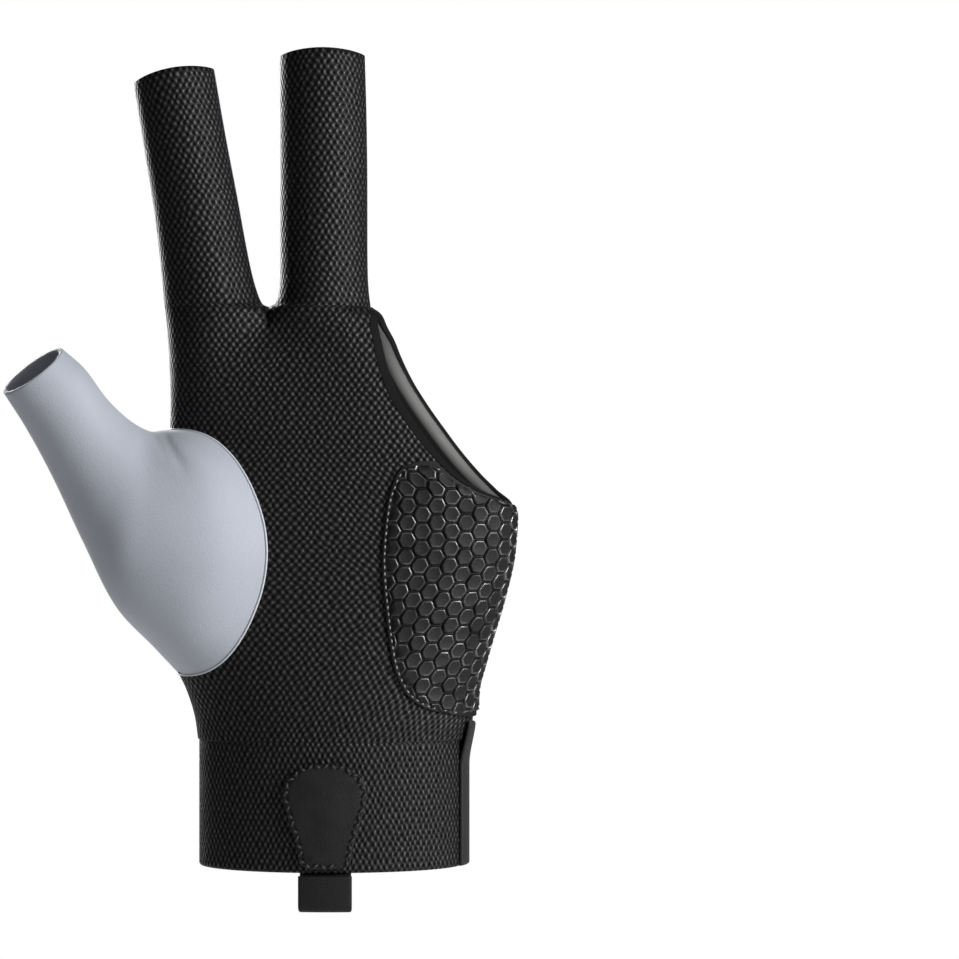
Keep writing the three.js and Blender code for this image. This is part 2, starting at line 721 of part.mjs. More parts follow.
function pullRibbon() {
  const inside = -cuff_wall - seam_gap - ribbon_thickness / 2;
  const outside = inside + ribbon_thickness * 2.2;
  const turn = (outside - inside) / 2;
  const trail = [[inside, ribbon_tuck], [inside, 0], [inside, turn - ribbon_drop]];
  for (const angle of [0.75, 0.5, 0.25]) {
    trail.push([inside + turn + turn * Math.cos(Math.PI * angle),
      turn - ribbon_drop - turn * Math.sin(Math.PI * angle)]);
  }
  trail.push([outside, turn - ribbon_drop], [outside, -hem_inset]);
  const half = ribbon_thickness / 2;
  const grid = (shift) => trail.map(([offset, z], i) => {
    const before = trail[Math.max(i - 1, 0)];
    const after = trail[Math.min(i + 1, trail.length - 1)];
    const run = Math.hypot(after[0] - before[0], after[1] - before[1]);
    const move = [(-(after[1] - before[1]) / run) * shift, ((after[0] - before[0]) / run) * shift];
    const loop = cuffLoop(z + move[1]);
    const from = stationAt(loop, -1, patch_across - ribbon_width / 2);
    const to = stationAt(loop, -1, patch_across + ribbon_width / 2);
    return spread(from, to, 4).map((station) => pointOn(loop, station, offset + move[0]));
  });
  return sheetShell(grid(half), grid(-half), false);
}

// Wrist strap: a tab with a round end on the back of the cuff, and the binding at its root
function wristStrap() {
  const middle = cuff_height / 2;
  const heights = [-1, -0.97, -0.88, -0.74, -0.5, 0, 0.5, 0.74, 0.88, 0.97, 1];
  const loops = heights.map((share) => cuffLoop(middle + (share * strap_height) / 2));
  return laidSheet(loops, (loop, i) => {
    const side = loop.lengths[loop.palm_count - 1];
    const from = side + binding_back + seam_gap * 2;
    const bow = strap_round * (1 - Math.sqrt(1 - heights[i] ** 2 * strap_fullness));
    return spread(from, side + binding_back + strap_reach - bow, 8);
  }, seam_gap + strap_thickness, seam_gap);
}

function strapBinding() {
  const loops = spread(seam_gap, cuff_height - seam_gap, 3).map(cuffLoop);
  return laidSheet(loops, (loop) => {
    const side = loop.lengths[loop.palm_count - 1];
    return spread(side - binding_front, side + binding_back, 10);
  }, seam_gap + binding_thickness, seam_gap);
}

// Materials and nodes
const finishes = {
  mesh_cloth: { color: 0x202022, roughness: 0.85 },
  stretch_cloth: { color: 0x8f949f, roughness: 0.7 },
  lining: { color: 0x2b2c30, roughness: 0.6 },
  silicone: { color: 0x17181a, roughness: 0.35 },
  leather: { color: 0x1b1b1d, roughness: 0.55 },
  webbing: { color: 0x161617, roughness: 0.8 },
};

function node(name, body, finish) {
  const raw = body.getMesh();
  const geometry = new THREE.BufferGeometry();
  geometry.setAttribute('position', new THREE.BufferAttribute(new Float32Array(raw.vertProperties), 3));
  geometry.setIndex(new THREE.BufferAttribute(new Uint32Array(raw.triVerts), 1));
  geometry.computeVertexNormals();
  const material = new THREE.MeshStandardMaterial({ ...finishes[finish], metalness: 0 });
  material.name = finish;
  const mesh = new THREE.Mesh(geometry, material);
  mesh.name = name;
  return mesh;
}

const palm = handPanel(-1, mesh_wall).solid().subtract(thumbCutter().solid());

const glove = new THREE.Group();
glove.name = 'billiard_glove';
glove.add(
  node('palm_panel', palm, 'mesh_cloth'),
  node('back_panel', handPanel(1, cloth_wall).solid(), 'stretch_cloth'),
  node('thumb', thumbShell().solid(), 'stretch_cloth'),
  node('cuff_palm', cuffHalf(-1).solid(), 'mesh_cloth'),
  node('cuff_back', cuffHalf(1).solid(), 'stretch_cloth'),
  node('opening_facing', openingFacing().solid(), 'lining'),
  node('grip_pad', gripPad(), 'silicone'),
  node('pull_patch', pullPatch().solid(), 'leather'),
  node('pull_ribbon', pullRibbon().solid(), 'webbing'),
  node('wrist_strap', wristStrap().solid(), 'lining'),
  node('strap_binding', strapBinding().solid(), 'lining'),
);

export default glove;
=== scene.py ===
import math

import bpy
import numpy as np
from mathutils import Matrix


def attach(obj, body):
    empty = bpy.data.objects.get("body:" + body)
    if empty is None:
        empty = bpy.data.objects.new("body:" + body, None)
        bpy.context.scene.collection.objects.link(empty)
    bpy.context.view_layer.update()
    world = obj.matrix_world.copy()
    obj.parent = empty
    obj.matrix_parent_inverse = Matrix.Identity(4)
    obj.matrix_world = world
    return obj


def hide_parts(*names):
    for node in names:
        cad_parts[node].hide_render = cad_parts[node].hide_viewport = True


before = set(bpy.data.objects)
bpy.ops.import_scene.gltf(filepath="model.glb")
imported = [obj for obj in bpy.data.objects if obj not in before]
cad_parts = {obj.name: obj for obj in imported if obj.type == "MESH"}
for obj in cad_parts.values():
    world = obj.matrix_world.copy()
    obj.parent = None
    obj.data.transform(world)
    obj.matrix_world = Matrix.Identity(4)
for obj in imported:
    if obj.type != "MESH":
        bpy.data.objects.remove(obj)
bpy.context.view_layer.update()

scene = bpy.context.scene
MM = 0.001

# Room: a photographer's plain white sweep. The floor is painted board, well below the glove,
# which hangs on its mount. A soft lamp stands to the right of the camera and a weak one above
# it; a second pair lights the back of the glove.
FLOOR_DROP = 240 * MM
FLOOR_RADIUS = 1.1
FLOOR_EVENNESS = 0.9
WORLD_LIGHT = 0.14
LAMP_TARGET = (0, 0, 0.1)
LAMPS = [("key_lamp", (0.78, -0.46, 0.36), 0.45, 15), ("fill_lamp", (0.1, -1.1, 0.6), 0.6, 1.4),
         ("back_key", (-0.44, 0.86, 0.33), 0.45, 9.5), ("back_fill", (0.0, 1.1, 0.4), 0.6, 0.4)]
CAMERA_DISTANCE = 0.86
PHOTO_WIDTH = 959
MM_PER_PIXEL = 0.25
PHOTO_WRIST = (331.8, 864)
HEX_FLOOR = "#f4f4f3"
HEX_WORLD = "#ffffff"


def linear(hex_colour, alpha=1.0):
    """sRGB hex to linear: the low end divides by 12.92, the rest is the 2.4 power."""
    srgb = np.array([int(hex_colour[k:k + 2], 16) for k in (1, 3, 5)]) / 255
    flat = np.where(srgb <= 0.04045, srgb / 12.92, ((srgb + 0.055) / 1.055) ** 2.4)
    return (*flat.tolist(), alpha)


def add(tree, kind, inputs=None, **settings):
    """Add a node, set its properties, then link or set each named or numbered input."""
    node = tree.nodes.new(kind)
    for name, value in settings.items():
        setattr(node, name, value)
    for name, value in (inputs or {}).items():
        socket = node.inputs[name]
        if isinstance(value, bpy.types.NodeSocket):
            tree.links.new(value, socket)
        else:
            socket.default_value = value
    return node


def new_material(name):
    """Material with an empty node tree, and the tree."""
    material = bpy.data.materials.new(name)
    material.use_nodes = True
    material.node_tree.nodes.clear()
    return material, material.node_tree


def mesh_piece(name, points, faces, uv=None, smooth=True):
    """Mesh from points in millimetres and a list of face index arrays, with uv per point."""
    mesh = bpy.data.meshes.new(name)
    faces = [np.asarray(group) for group in faces]
    mesh.from_pydata((np.asarray(points) * MM).tolist(), [],
                     [row for group in faces for row in group.tolist()])
    if uv is not None:
        layer = mesh.uv_layers.new(name="cloth")
        corners = np.empty(len(mesh.loops), dtype=np.int64)
        mesh.loops.foreach_get("vertex_index", corners)
        layer.data.foreach_set("uv", np.asarray(uv, dtype=np.float32)[corners].ravel())
    mesh.polygons.foreach_set("use_smooth", np.full(len(mesh.polygons), smooth))
    mesh.update()
    piece = bpy.data.objects.new(name, mesh)
    scene.collection.objects.link(piece)
    return piece


def disc(radius, height, count=96):
    """One round face: points at radius * cos and sin."""
    angle = np.linspace(0, 2 * np.pi, count, endpoint=False)
    rim = np.stack([radius * np.cos(angle), radius * np.sin(angle), np.full(count, height)], 1)
    return rim, [np.arange(count)[None, :]]


floor = mesh_piece("floor", *disc(FLOOR_RADIUS / MM, -FLOOR_DROP / MM), smooth=False)
# Matt white board: painted, with no gloss. To the camera it shows mostly its own even tone, so
# that the lamps leave no pools of light on it.
floor_paint, tree = new_material("matt_white_board")
grain = add(tree, "ShaderNodeTexNoise", {"Scale": 400.0, "Detail": 4.0})
board_bump = add(tree, "ShaderNodeBump", {
    "Height": grain.outputs["Fac"], "Distance": 0.0002, "Strength": 0.3})
board = add(tree, "ShaderNodeBsdfPrincipled", {
    "Base Color": linear(HEX_FLOOR), "Roughness": 0.9, "Normal": board_bump.outputs["Normal"]})
lit_through = add(tree, "ShaderNodeEmission", {"Color": linear(HEX_FLOOR), "Strength": 1.0})
seen_by = add(tree, "ShaderNodeLightPath")
even = add(tree, "ShaderNodeMath", {0: seen_by.outputs["Is Camera Ray"], 1: FLOOR_EVENNESS},
           operation="MULTIPLY")
blend = add(tree, "ShaderNodeMixShader", {
    0: even.outputs[0], 1: board.outputs["BSDF"], 2: lit_through.outputs[0]})
add(tree, "ShaderNodeOutputMaterial", {"Surface": blend.outputs[0]})
floor.data.materials.append(floor_paint)

world = bpy.data.worlds.new("white_sweep")
scene.world = world
world.use_nodes = True
world.node_tree.nodes.clear()
ray = add(world.node_tree, "ShaderNodeLightPath")
seen = add(world.node_tree, "ShaderNodeBackground", {
    "Color": linear(HEX_WORLD), "Strength": 1.0})
lit = add(world.node_tree, "ShaderNodeBackground", {
    "Color": linear(HEX_WORLD), "Strength": WORLD_LIGHT})
sky = add(world.node_tree, "ShaderNodeMixShader", {
    0: ray.outputs["Is Camera Ray"], 1: lit.outputs[0], 2: seen.outputs[0]})
add(world.node_tree, "ShaderNodeOutputWorld", {"Surface": sky.outputs[0]})
scene.view_settings.view_transform = "Standard"


def lamp(name, place, target, size, power):
    """Square area lamp at place, turned to face target."""
    light = bpy.data.lights.new(name, "AREA")
    light.size = size
    light.energy = power
    holder = bpy.data.objects.new(name, light)
    scene.collection.objects.link(holder)
    gaze = np.array(target) - np.array(place)
    holder.location = place
    pitch = math.atan2(math.hypot(gaze[0], gaze[1]), -gaze[2])
    holder.rotation_euler = (pitch, 0, math.atan2(gaze[0], -gaze[1]) + math.pi)


for name, place, size, power in LAMPS:
    lamp(name, place, LAMP_TARGET, size, power)

camera_data = bpy.data.cameras.new("camera")
camera = bpy.data.objects.new("camera", camera_data)
scene.collection.objects.link(camera)
camera_data.sensor_fit = "HORIZONTAL"
camera_data.sensor_width = 36
camera_data.lens = 36 * CAMERA_DISTANCE / (PHOTO_WIDTH * MM_PER_PIXEL * MM)
camera.location = ((PHOTO_WIDTH / 2 - PHOTO_WRIST[0]) * MM_PER_PIXEL * MM, -CAMERA_DISTANCE,
                   (PHOTO_WRIST[1] - PHOTO_WIDTH / 2) * MM_PER_PIXEL * MM)
camera.rotation_euler = (math.radians(90), 0, 0)
scene.camera = camera

# Palm panel: one piece of black open mesh knit, cut to cover the palm and the front halves
# of the index and middle tubes, with an oval hole for the thumb. It is sewn to the back panel
# along the sides of the hand and fingers.
CUFF_WIDTH = 66.2
CUFF_DEPTH = 42.0
CUFF_HEIGHT = 32.0
HAND_HEIGHT = 107.2
HAND_WIDTH = 90.0
HAND_DEPTH = 38.0
CROTCH = -0.174 * HAND_WIDTH
TUBES_FROM = 0.62
VALLEY_TOP, VALLEY_FOOT = 5, 75
FINGER_LENGTH = 60.0
FINGER_DEPTH = 21.0
TIP_ARCH = 1.2
OPENING_LAP = 8.5
OPENING_SET_BACK = 6.3
MESH_WALL = 1.2
CLOTH_WALL = 1.2
KNOT_PITCH = 1.67
KNOT_ROW = 1.37
DRIFT = 1.6
SEAM_DEPTH = 0.45
FREE_EDGE_DEPTH = 0.12
ROLL_IN = 2.2
ROLL_FROM, ROLL_TO = -0.003, -0.009
HOLE_INSET = 1.2
THUMB_SEAM_HEIGHT = 61.0
THUMB_SEAM_MIDDLE = 78.1
THUMB_SEAM_ROOT = -40.2
THUMB_SEAM_REACH = 25.0
THUMB_SEAM_WRAP = 6.0
THUMB_SEAM_START = 0.02
THUMB_SEAM_POWER = 0.8
STRETCH = {"z":      [32, 50, 70, 100, 139, 200],
           "width":  [1.60, 1.95, 2.15, 1.85, 1.80, 1.75],
           "height": [1.35, 1.18, 1.12, 1.12, 1.28, 1.30]}
KNOT_RELIEF = 0.3 * MM
# Eyelet colour is painted shade in the holes, knot colour is a painted highlight.
HEX_EYELET_SHADE = "#08080a"
HEX_YARN = "#0d0d0e"
HEX_KNOT_HIGHLIGHT = "#3a3a3d"

# Shares of hand height for level; of hand width for left, edge, seam and ulnar; of lap and
# set-back; of hand depth for palm and back; full is the power of the oval.
HAND_TABLE = {
    "level":    [0.000, 0.042, 0.104, 0.165, 0.241, 0.318, 0.430, 0.537, 0.572, 0.606,
                 0.662, 0.718, 0.774, 0.830, 0.886, 0.924, 0.954, 0.978, 0.992, 1.000],
    "left":     [-0.372, -0.379, -0.401, -0.436, -0.480, -0.524, -0.549, -0.539, -0.523, -0.503,
                 -0.473, -0.449, -0.448, -0.449, -0.452, -0.455, -0.458, -0.461, -0.463, -0.465],
    "edge":     [0.378, 0.392, 0.395, 0.413, 0.439, 0.466, 0.495, 0.503, 0.459, 0.417,
                 0.359, 0.309, 0.262, 0.221, 0.189, 0.171, 0.152, 0.139, 0.121, 0.109],
    "lap":      [0.00, 0.00, 0.00, 0.00, 0.00, 0.00, 0.00, 0.00, 0.50, 0.74,
                 0.94, 1.00, 1.00, 0.92, 0.74, 0.58, 0.38, 0.18, 0.06, 0.00],
    "set_back": [0.00, 0.00, 0.00, 0.00, 0.00, 0.00, 0.00, 0.00, 0.60, 0.90,
                 1.00, 1.00, 0.96, 0.80, 0.62, 0.50, 0.34, 0.18, 0.06, 0.00],
    "seam":     [0.000, 0.006, 0.020, 0.038, 0.060, 0.080, 0.094, 0.068, 0.050, 0.034,
                 0.014, 0.003, 0.000, 0.000, 0.000, 0.000, 0.000, 0.000, 0.000, 0.000],
    "ulnar":    [0.000, 0.004, 0.006, 0.006, 0.006, 0.006, 0.006, 0.000, 0.000, 0.000,
                 0.000, 0.000, 0.000, 0.000, 0.000, 0.000, 0.000, 0.000, 0.000, 0.000],
    "palm":     [0.545, 0.540, 0.530, 0.520, 0.505, 0.490, 0.470, 0.450, 0.440, 0.432,
                 0.420, 0.405, 0.390, 0.374, 0.356, 0.342, 0.330, 0.320, 0.314, 0.310],
    "back":     [0.545, 0.520, 0.490, 0.465, 0.440, 0.420, 0.400, 0.385, 0.380, 0.376,
                 0.370, 0.364, 0.358, 0.350, 0.340, 0.330, 0.322, 0.315, 0.310, 0.306],
    "full":     [2.00, 2.05, 2.10, 2.15, 2.20, 2.25, 2.30, 2.30, 2.30, 2.30,
                 2.30, 2.28, 2.25, 2.20, 2.15, 2.10, 2.06, 2.03, 2.01, 2.00],
    "hump":     [0.00, 0.00, 0.00, 0.00, 0.00, 0.00, 0.00, 0.01, 0.015, 0.02,
                 0.03, 0.04, 0.05, 0.07, 0.11, 0.18, 0.30, 0.48, 0.70, 1.00],
}
# Rise is a share of finger length along each side, the sides are shares of hand width.
INDEX_TABLE = {
    "rise_left":  [0.000, 0.009, 0.050, 0.130, 0.250, 0.430, 0.680, 0.925],
    "left":       [-0.465, -0.4655, -0.468, -0.473, -0.481, -0.497, -0.524, -0.550],
    "rise_right": [0.000, 0.012, 0.065, 0.145, 0.270, 0.460, 0.720, 0.990],
    "right":      [-0.174, -0.191, -0.207, -0.222, -0.239, -0.262, -0.295, -0.326],
    "depth":      [1.12, 1.118, 1.10, 1.07, 1.04, 1.02, 1.00, 0.98],
}
MIDDLE_TABLE = {
    "rise_left":  [0.000, 0.012, 0.050, 0.130, 0.270, 0.480, 0.760, 1.040],
    "left":       [-0.174, -0.160, -0.149, -0.1445, -0.144, -0.144, -0.144, -0.145],
    "rise_right": [0.000, 0.012, 0.060, 0.140, 0.270, 0.480, 0.760, 1.045],
    "right":      [0.109, 0.108, 0.104, 0.101, 0.100, 0.100, 0.098, 0.093],
    "depth":      [1.12, 1.118, 1.10, 1.07, 1.04, 1.02, 1.00, 0.98],
}


def read_column(places, values, at):
    """Monotone cubic through a column: slopes are harmonic means of the two neighbouring
    chords, or zero where those differ in sign, so it never overshoots the table."""
    x, y = np.array(places, float), np.array(values, float)
    at = np.clip(at, x[0], x[-1])
    run = np.diff(x)
    chord = np.diff(y) / run
    product = chord[:-1] * chord[1:]
    total = np.where(product > 0, chord[:-1] + chord[1:], 1)
    bend = np.concatenate([chord[:1], np.where(product > 0, 2 * product / total, 0), chord[-1:]])
    k = np.clip(np.searchsorted(x, at, side="right") - 1, 0, len(x) - 2)
    t = (at - x[k]) / run[k]
    ends = (1 + 2 * t) * (1 - t) ** 2 * y[k] + t ** 2 * (3 - 2 * t) * y[k + 1]
    return ends + run[k] * (t * (1 - t) ** 2 * bend[k] - t ** 2 * (1 - t) * bend[k + 1])


def smooth_step(low, high, value):
    """Eases from 0 at low to 1 at high as 3t^2 - 2t^3."""
    t = np.clip((value - low) / (high - low), 0, 1)
    return t * t * (3 - 2 * t)


class Loops:
    """Closed outlines, one a row, traced from the left side over the palm to the right side
    and home over the back, with their length so far, and frames that place them in space."""

    def __init__(self, palm, back, origin, across, out, up, arch):
        self.half_count = palm.shape[1] - 1
        self.points = np.concatenate([palm, back[:, -2:0:-1]], axis=1)
        step = np.roll(self.points, -1, axis=1) - self.points
        length = np.cumsum(np.hypot(step[..., 0], step[..., 1]), axis=1)
        self.total = length[:, -1]
        self.length = np.concatenate([np.zeros((len(palm), 1)), length[:, :-1]], axis=1)
        self.half = self.length[:, self.half_count]
        self.origin, self.across, self.out, self.up, self.arch = origin, across, out, up, arch
        self.reach = np.abs(palm[:, 0, 0])

    def flat(self, stations):
        """Points of the outline's own plane at stations, past either end round it again."""
        stations = np.broadcast_to(stations, (len(self.total), np.shape(stations)[-1]))
        return np.stack([np.stack([
            np.interp(s, length, points[:, axis], period=total) for axis in (0, 1)], axis=1)
            for s, length, points, total in zip(stations, self.length, self.points, self.total)])

    def station_at(self, side, across):
        """Length along the outline where its palm (-1) or back (+1) half crosses a place."""
        h = self.half_count
        found = []
        for x, length, total, want in zip(self.points[..., 0], self.length, self.total,
                                          np.broadcast_to(across, self.total.shape)):
            if side < 0:
                found.append(np.interp(want, x[:h + 1], length[:h + 1]))
            else:
                back_x = np.append(x[h:], x[0])[::-1]
                found.append(np.interp(want, back_x, np.append(length[h:], total)[::-1]))
        return np.array(found)

    def lay(self, stations, offset=0.0):
        """Points at stations, moved outward by offset along the outline's own normal."""
        here = self.flat(stations)
        along = self.flat(stations + 0.5) - self.flat(stations - 0.5)
        along /= np.linalg.norm(along, axis=2, keepdims=True)
        normal = np.stack([along[..., 1], -along[..., 0]], axis=2)
        here = here + normal * np.asarray(offset)[..., None]
        lift = self.arch[:, None] * np.clip(1 - (here[..., 0] / self.reach[:, None]) ** 2, 0, 1)
        return (self.origin[:, None] + here[..., :1] * self.across[:, None]
                + here[..., 1:] * self.out[:, None] + lift[..., None] * self.up[:, None])


def fixed_axes(count):
    """The frame's own three axes for each of the outlines."""
    return [np.tile(axis, (count, 1)) for axis in ((1.0, 0, 0), (0, 1.0, 0), (0, 0, 1.0))]


def hand_loops(levels, trace=80, sunk=1.0):
    """Hand outlines: an oval |x|^p + |y|^p = 1 whose outer sides turn into those of the two
    finger tubes. Its middle sinks into a valley that becomes the gap between them; sunk = 0
    leaves the valley out."""
    t = {name: read_column(HAND_TABLE["level"], column, levels)[:, None]
         for name, column in HAND_TABLE.items()}
    t["hump"] = sunk * t["hump"]
    left = t["left"] * HAND_WIDTH
    edge = t["edge"] * HAND_WIDTH
    right = edge + t["lap"] * OPENING_LAP
    crotch = np.full_like(left, CROTCH)
    u = -np.cos(np.linspace(0, np.pi, trace + 1))[None, :]
    index_x = (left + crotch) / 2 + u * (crotch - left) / 2
    middle_x = (crotch + right) / 2 + u * (right - crotch) / 2
    x = np.concatenate([index_x, middle_x[:, 1:]], axis=1)
    own = np.concatenate([np.repeat(u, len(left), 0), np.repeat(u[:, 1:], len(left), 0)], axis=1)
    centre, reach = (left + right) / 2, (right - left) / 2
    one = np.clip(1 - np.abs((x - centre) / reach) ** t["full"], 0, 1) ** (1 / t["full"])
    tube = np.sqrt(np.clip(1 - own ** 2, 0, 1))
    outside = np.concatenate([u[0] < 0, u[0, 1:] > 0])[None, :]
    tubes = smooth_step(TUBES_FROM, 1.0, t["level"])
    broad = (1 - tubes) * one + tubes * np.where(outside, tube, 1)
    width = VALLEY_TOP + (VALLEY_FOOT - VALLEY_TOP) * (1 - t["level"])
    valley = 1 - t["hump"] * np.exp(-((x - CROTCH) / width) ** 2)
    gap = np.where(outside, 1, 1 - t["hump"] * (1 - tube))
    split = smooth_step(0.92, 1.0, t["level"])
    rise = broad * ((1 - split) * valley + split * gap)
    palm = np.stack([x, -rise * t["palm"] * HAND_DEPTH], axis=2)
    back = np.stack([x, rise * t["back"] * HAND_DEPTH], axis=2)
    count = len(levels)
    origin = np.zeros((count, 3))
    origin[:, 2] = CUFF_HEIGHT + np.asarray(levels) * HAND_HEIGHT
    loops = Loops(palm, back, origin, *fixed_axes(count), np.zeros(count))
    seam = (left + t["seam"] * HAND_WIDTH)[:, 0]
    loops.radial = np.where(t["seam"][:, 0] < 1e-4, loops.total, loops.station_at(1, seam))
    is_open = loops.is_open = (right - edge)[:, 0] > 0.02
    ulnar = loops.station_at(1, (right - t["ulnar"] * HAND_WIDTH)[:, 0])
    palm_edge = (edge - t["set_back"] * OPENING_SET_BACK)[:, 0]
    loops.palm_end = np.where(is_open, loops.station_at(-1, palm_edge), ulnar)
    loops.back_end = np.where(is_open, loops.station_at(1, edge[:, 0]), ulnar)
    loops.palm_crotch = loops.station_at(-1, CROTCH)
    loops.back_crotch = loops.station_at(1, CROTCH)
    loops.left, loops.z = left[:, 0], origin[:, 2]
    return loops


def finger_loops(table, rows, trace=80):
    """Finger outlines: ellipses whose long axis joins the tube's two sides."""
    knots = (np.array(table["rise_left"]) + np.array(table["rise_right"])) / 2
    at = knots[-1] * np.linspace(0, 1, rows) ** 1.5
    t = {name: read_column(knots, column, at) for name, column in table.items()}
    crotch_z = CUFF_HEIGHT + HAND_HEIGHT
    low = np.stack([t["left"] * HAND_WIDTH, 0 * at, crotch_z + t["rise_left"] * FINGER_LENGTH], 1)
    high = np.stack([t["right"] * HAND_WIDTH, 0 * at,
                     crotch_z + t["rise_right"] * FINGER_LENGTH], 1)
    return oval_loops(low, high, t["depth"] * FINGER_DEPTH / 2,
                      TIP_ARCH * (at / knots[-1]) ** 2, trace)


def oval_loops(low, high, depth, arch, trace=80):
    """Ellipses from their two side points: x = -reach * cos and y = depth * sin."""
    across = high - low
    reach = np.linalg.norm(across, axis=1) / 2
    across = across / (2 * reach[:, None])
    out = np.tile((0.0, 1.0, 0.0), (len(low), 1))
    angle = np.linspace(0, np.pi, trace + 1)[None, :]
    x = -reach[:, None] * np.cos(angle)
    y = depth[:, None] * np.sin(angle)
    return Loops(np.stack([x, -y], 2), np.stack([x, y], 2), (low + high) / 2, across, out,
                 np.cross(across, out), arch)


def spread(start, end, count):
    """Rows of count + 1 stations from each start to each end."""
    share = np.linspace(0, 1, count + 1)[None, :]
    return np.asarray(start)[:, None] * (1 - share) + np.asarray(end)[:, None] * share


def grid_faces(ids):
    """Quads of a grid of point numbers."""
    return np.stack([ids[:-1, :-1], ids[:-1, 1:], ids[1:, 1:], ids[1:, :-1]], axis=2).reshape(-1, 4)


def seam_dip(stations, edge, depth=SEAM_DEPTH, width=1.5):
    """Lets cloth sink into a seam: a quarter circle, falling by depth over the last width."""
    near = np.abs(stations - edge[:, None]) / width
    return -np.reshape(depth, (-1, 1)) * (1 - np.sqrt(1 - (1 - np.clip(near, 0, 1)) ** 2))


FINGER_COLUMNS = 44
# Rows are closer at the cuff seam, where the opening starts and at the crotch.
HAND_LEVELS = np.unique(np.concatenate([
    np.linspace(ROLL_TO, 0.012, 14), np.linspace(0.012, 0.96, 128),
    np.linspace(0.527, 0.592, 30), np.linspace(0.96, 0.999, 12)]))
HAND_LEVELS = HAND_LEVELS[np.append(True, np.diff(HAND_LEVELS) > 0.0008)]


def hand_panel(side):
    """Hand grid of rows by two finger widths, and the two finger grids above it, with one
    shared point at the crotch. UV is millimetres of cloth: length across as if the valley
    between the fingers weren't there, and height."""
    hand, level_hand = hand_loops(HAND_LEVELS), hand_loops(HAND_LEVELS, sunk=0.0)
    n = FINGER_COLUMNS
    if side < 0:
        start, middle, end = hand.radial - hand.total, hand.palm_crotch, hand.palm_end
    else:
        start, middle, end = hand.radial, hand.back_crotch, hand.back_end
    stations = np.concatenate([spread(start, middle, n), spread(middle, end, n)[:, 1:]], axis=1)
    end_depth = np.where(hand.is_open, FREE_EDGE_DEPTH, SEAM_DEPTH)
    dip = seam_dip(stations, start) + seam_dip(stations, end, end_depth)
    dip -= ROLL_IN * (1 - smooth_step(ROLL_TO, ROLL_FROM, HAND_LEVELS))[:, None] ** 1.5
    grids, cloth = [hand.lay(stations, dip)], []
    held = np.clip(stations, 0, hand.half[:, None])
    drawn_flat = np.stack([np.interp(row, sunken, plain) for row, sunken, plain in zip(
        held, hand.length, level_hand.length)]) + stations - held
    across = drawn_flat - level_hand.palm_crotch[:, None]
    cloth.append(np.stack([across, np.repeat(hand.z[:, None], 2 * n + 1, 1)], 2))
    for table, part in ((INDEX_TABLE, 0), (MIDDLE_TABLE, 1)):
        finger = finger_loops(table, 60)
        first, last = (0 * finger.half, finger.half) if side < 0 else (finger.total, finger.half)
        rows = spread(first, last, n)
        grids.append(finger.lay(rows, seam_dip(rows, first) + seam_dip(rows, last)))
        outer_side, from_seam = (first, across[-1, 0]) if part == 0 else (last, across[-1, -1])
        height = np.cumsum(np.append(0, np.linalg.norm(np.diff(finger.origin, axis=0), axis=1)))
        cloth.append(np.stack([rows - outer_side[:, None] + from_seam, np.repeat(
            (CUFF_HEIGHT + HAND_HEIGHT + height)[:, None], n + 1, 1)], 2))
    points = np.concatenate([g.reshape(-1, 3) for g in grids])
    uv = np.concatenate([c.reshape(-1, 2) for c in cloth])
    ids, first_id = [], 0
    for g in grids:
        ids.append(np.arange(g.shape[0] * g.shape[1]).reshape(g.shape[:2]) + first_id)
        first_id += g.shape[0] * g.shape[1]
    ids[2][0, 0] = ids[1][0, -1]
    body, index, middle_finger = ids
    index = np.vstack([body[-1, :n + 1], index])
    middle_finger = np.vstack([body[-1, n:], middle_finger])
    faces = [grid_faces(g) for g in (body, index, middle_finger)]
    if side > 0:
        faces = [f[:, ::-1] for f in faces]
    return points, faces, uv, body


def drop_inside(faces, inside):
    """Leaves out the faces whose four corners all lie inside a region."""
    return [f[~inside[f].all(axis=1)] for f in faces]


def use_cloth(piece, thickness):
    """Gives a single layer its wall, inward."""
    wall = piece.modifiers.new("wall", "SOLIDIFY")
    wall.thickness = thickness * MM
    wall.offset = -1


def surface(tree, colour, roughness, specular, normal=None, sheen=None):
    """Principled shader and output, from a hex or a colour socket, values or sockets for the
    rest, and sheen as weight and roughness."""
    inputs = {"Base Color": linear(colour) if isinstance(colour, str) else colour,
              "Roughness": roughness, "Specular IOR Level": specular}
    if normal is not None:
        inputs["Normal"] = normal
    if sheen is not None:
        inputs["Sheen Weight"], inputs["Sheen Roughness"] = sheen
    shader = add(tree, "ShaderNodeBsdfPrincipled", inputs)
    add(tree, "ShaderNodeOutputMaterial", {"Surface": shader.outputs["BSDF"]})


def noise(tree, place, scale, detail, **settings):
    """Outputs of a noise texture read at a place."""
    return add(tree, "ShaderNodeTexNoise", {
        "Vector": place, "Scale": scale, "Detail": detail, **settings}).outputs


def relief(tree, height, distance, strength):
    """Normal of a bump made from a height."""
    return add(tree, "ShaderNodeBump", {
        "Height": height, "Distance": distance, "Strength": strength}).outputs["Normal"]


def in_object(tree):
    """Place in the piece itself, in metres."""
    return add(tree, "ShaderNodeTexCoord").outputs["Object"]


def ramp(tree, value, stops):
    """Colour ramp through (place, hex) stops."""
    node = add(tree, "ShaderNodeValToRGB", {"Fac": value})
    while len(node.color_ramp.elements) < len(stops):
        node.color_ramp.elements.new(0.5)
    for element, (place, colour) in zip(node.color_ramp.elements, stops):
        element.position = place
        element.color = linear(colour)
    return node.outputs["Color"]


def cloth_uv(tree):
    """Place on the cloth, as the mesh's own uv says."""
    return add(tree, "ShaderNodeUVMap", uv_map="cloth").outputs["UV"]


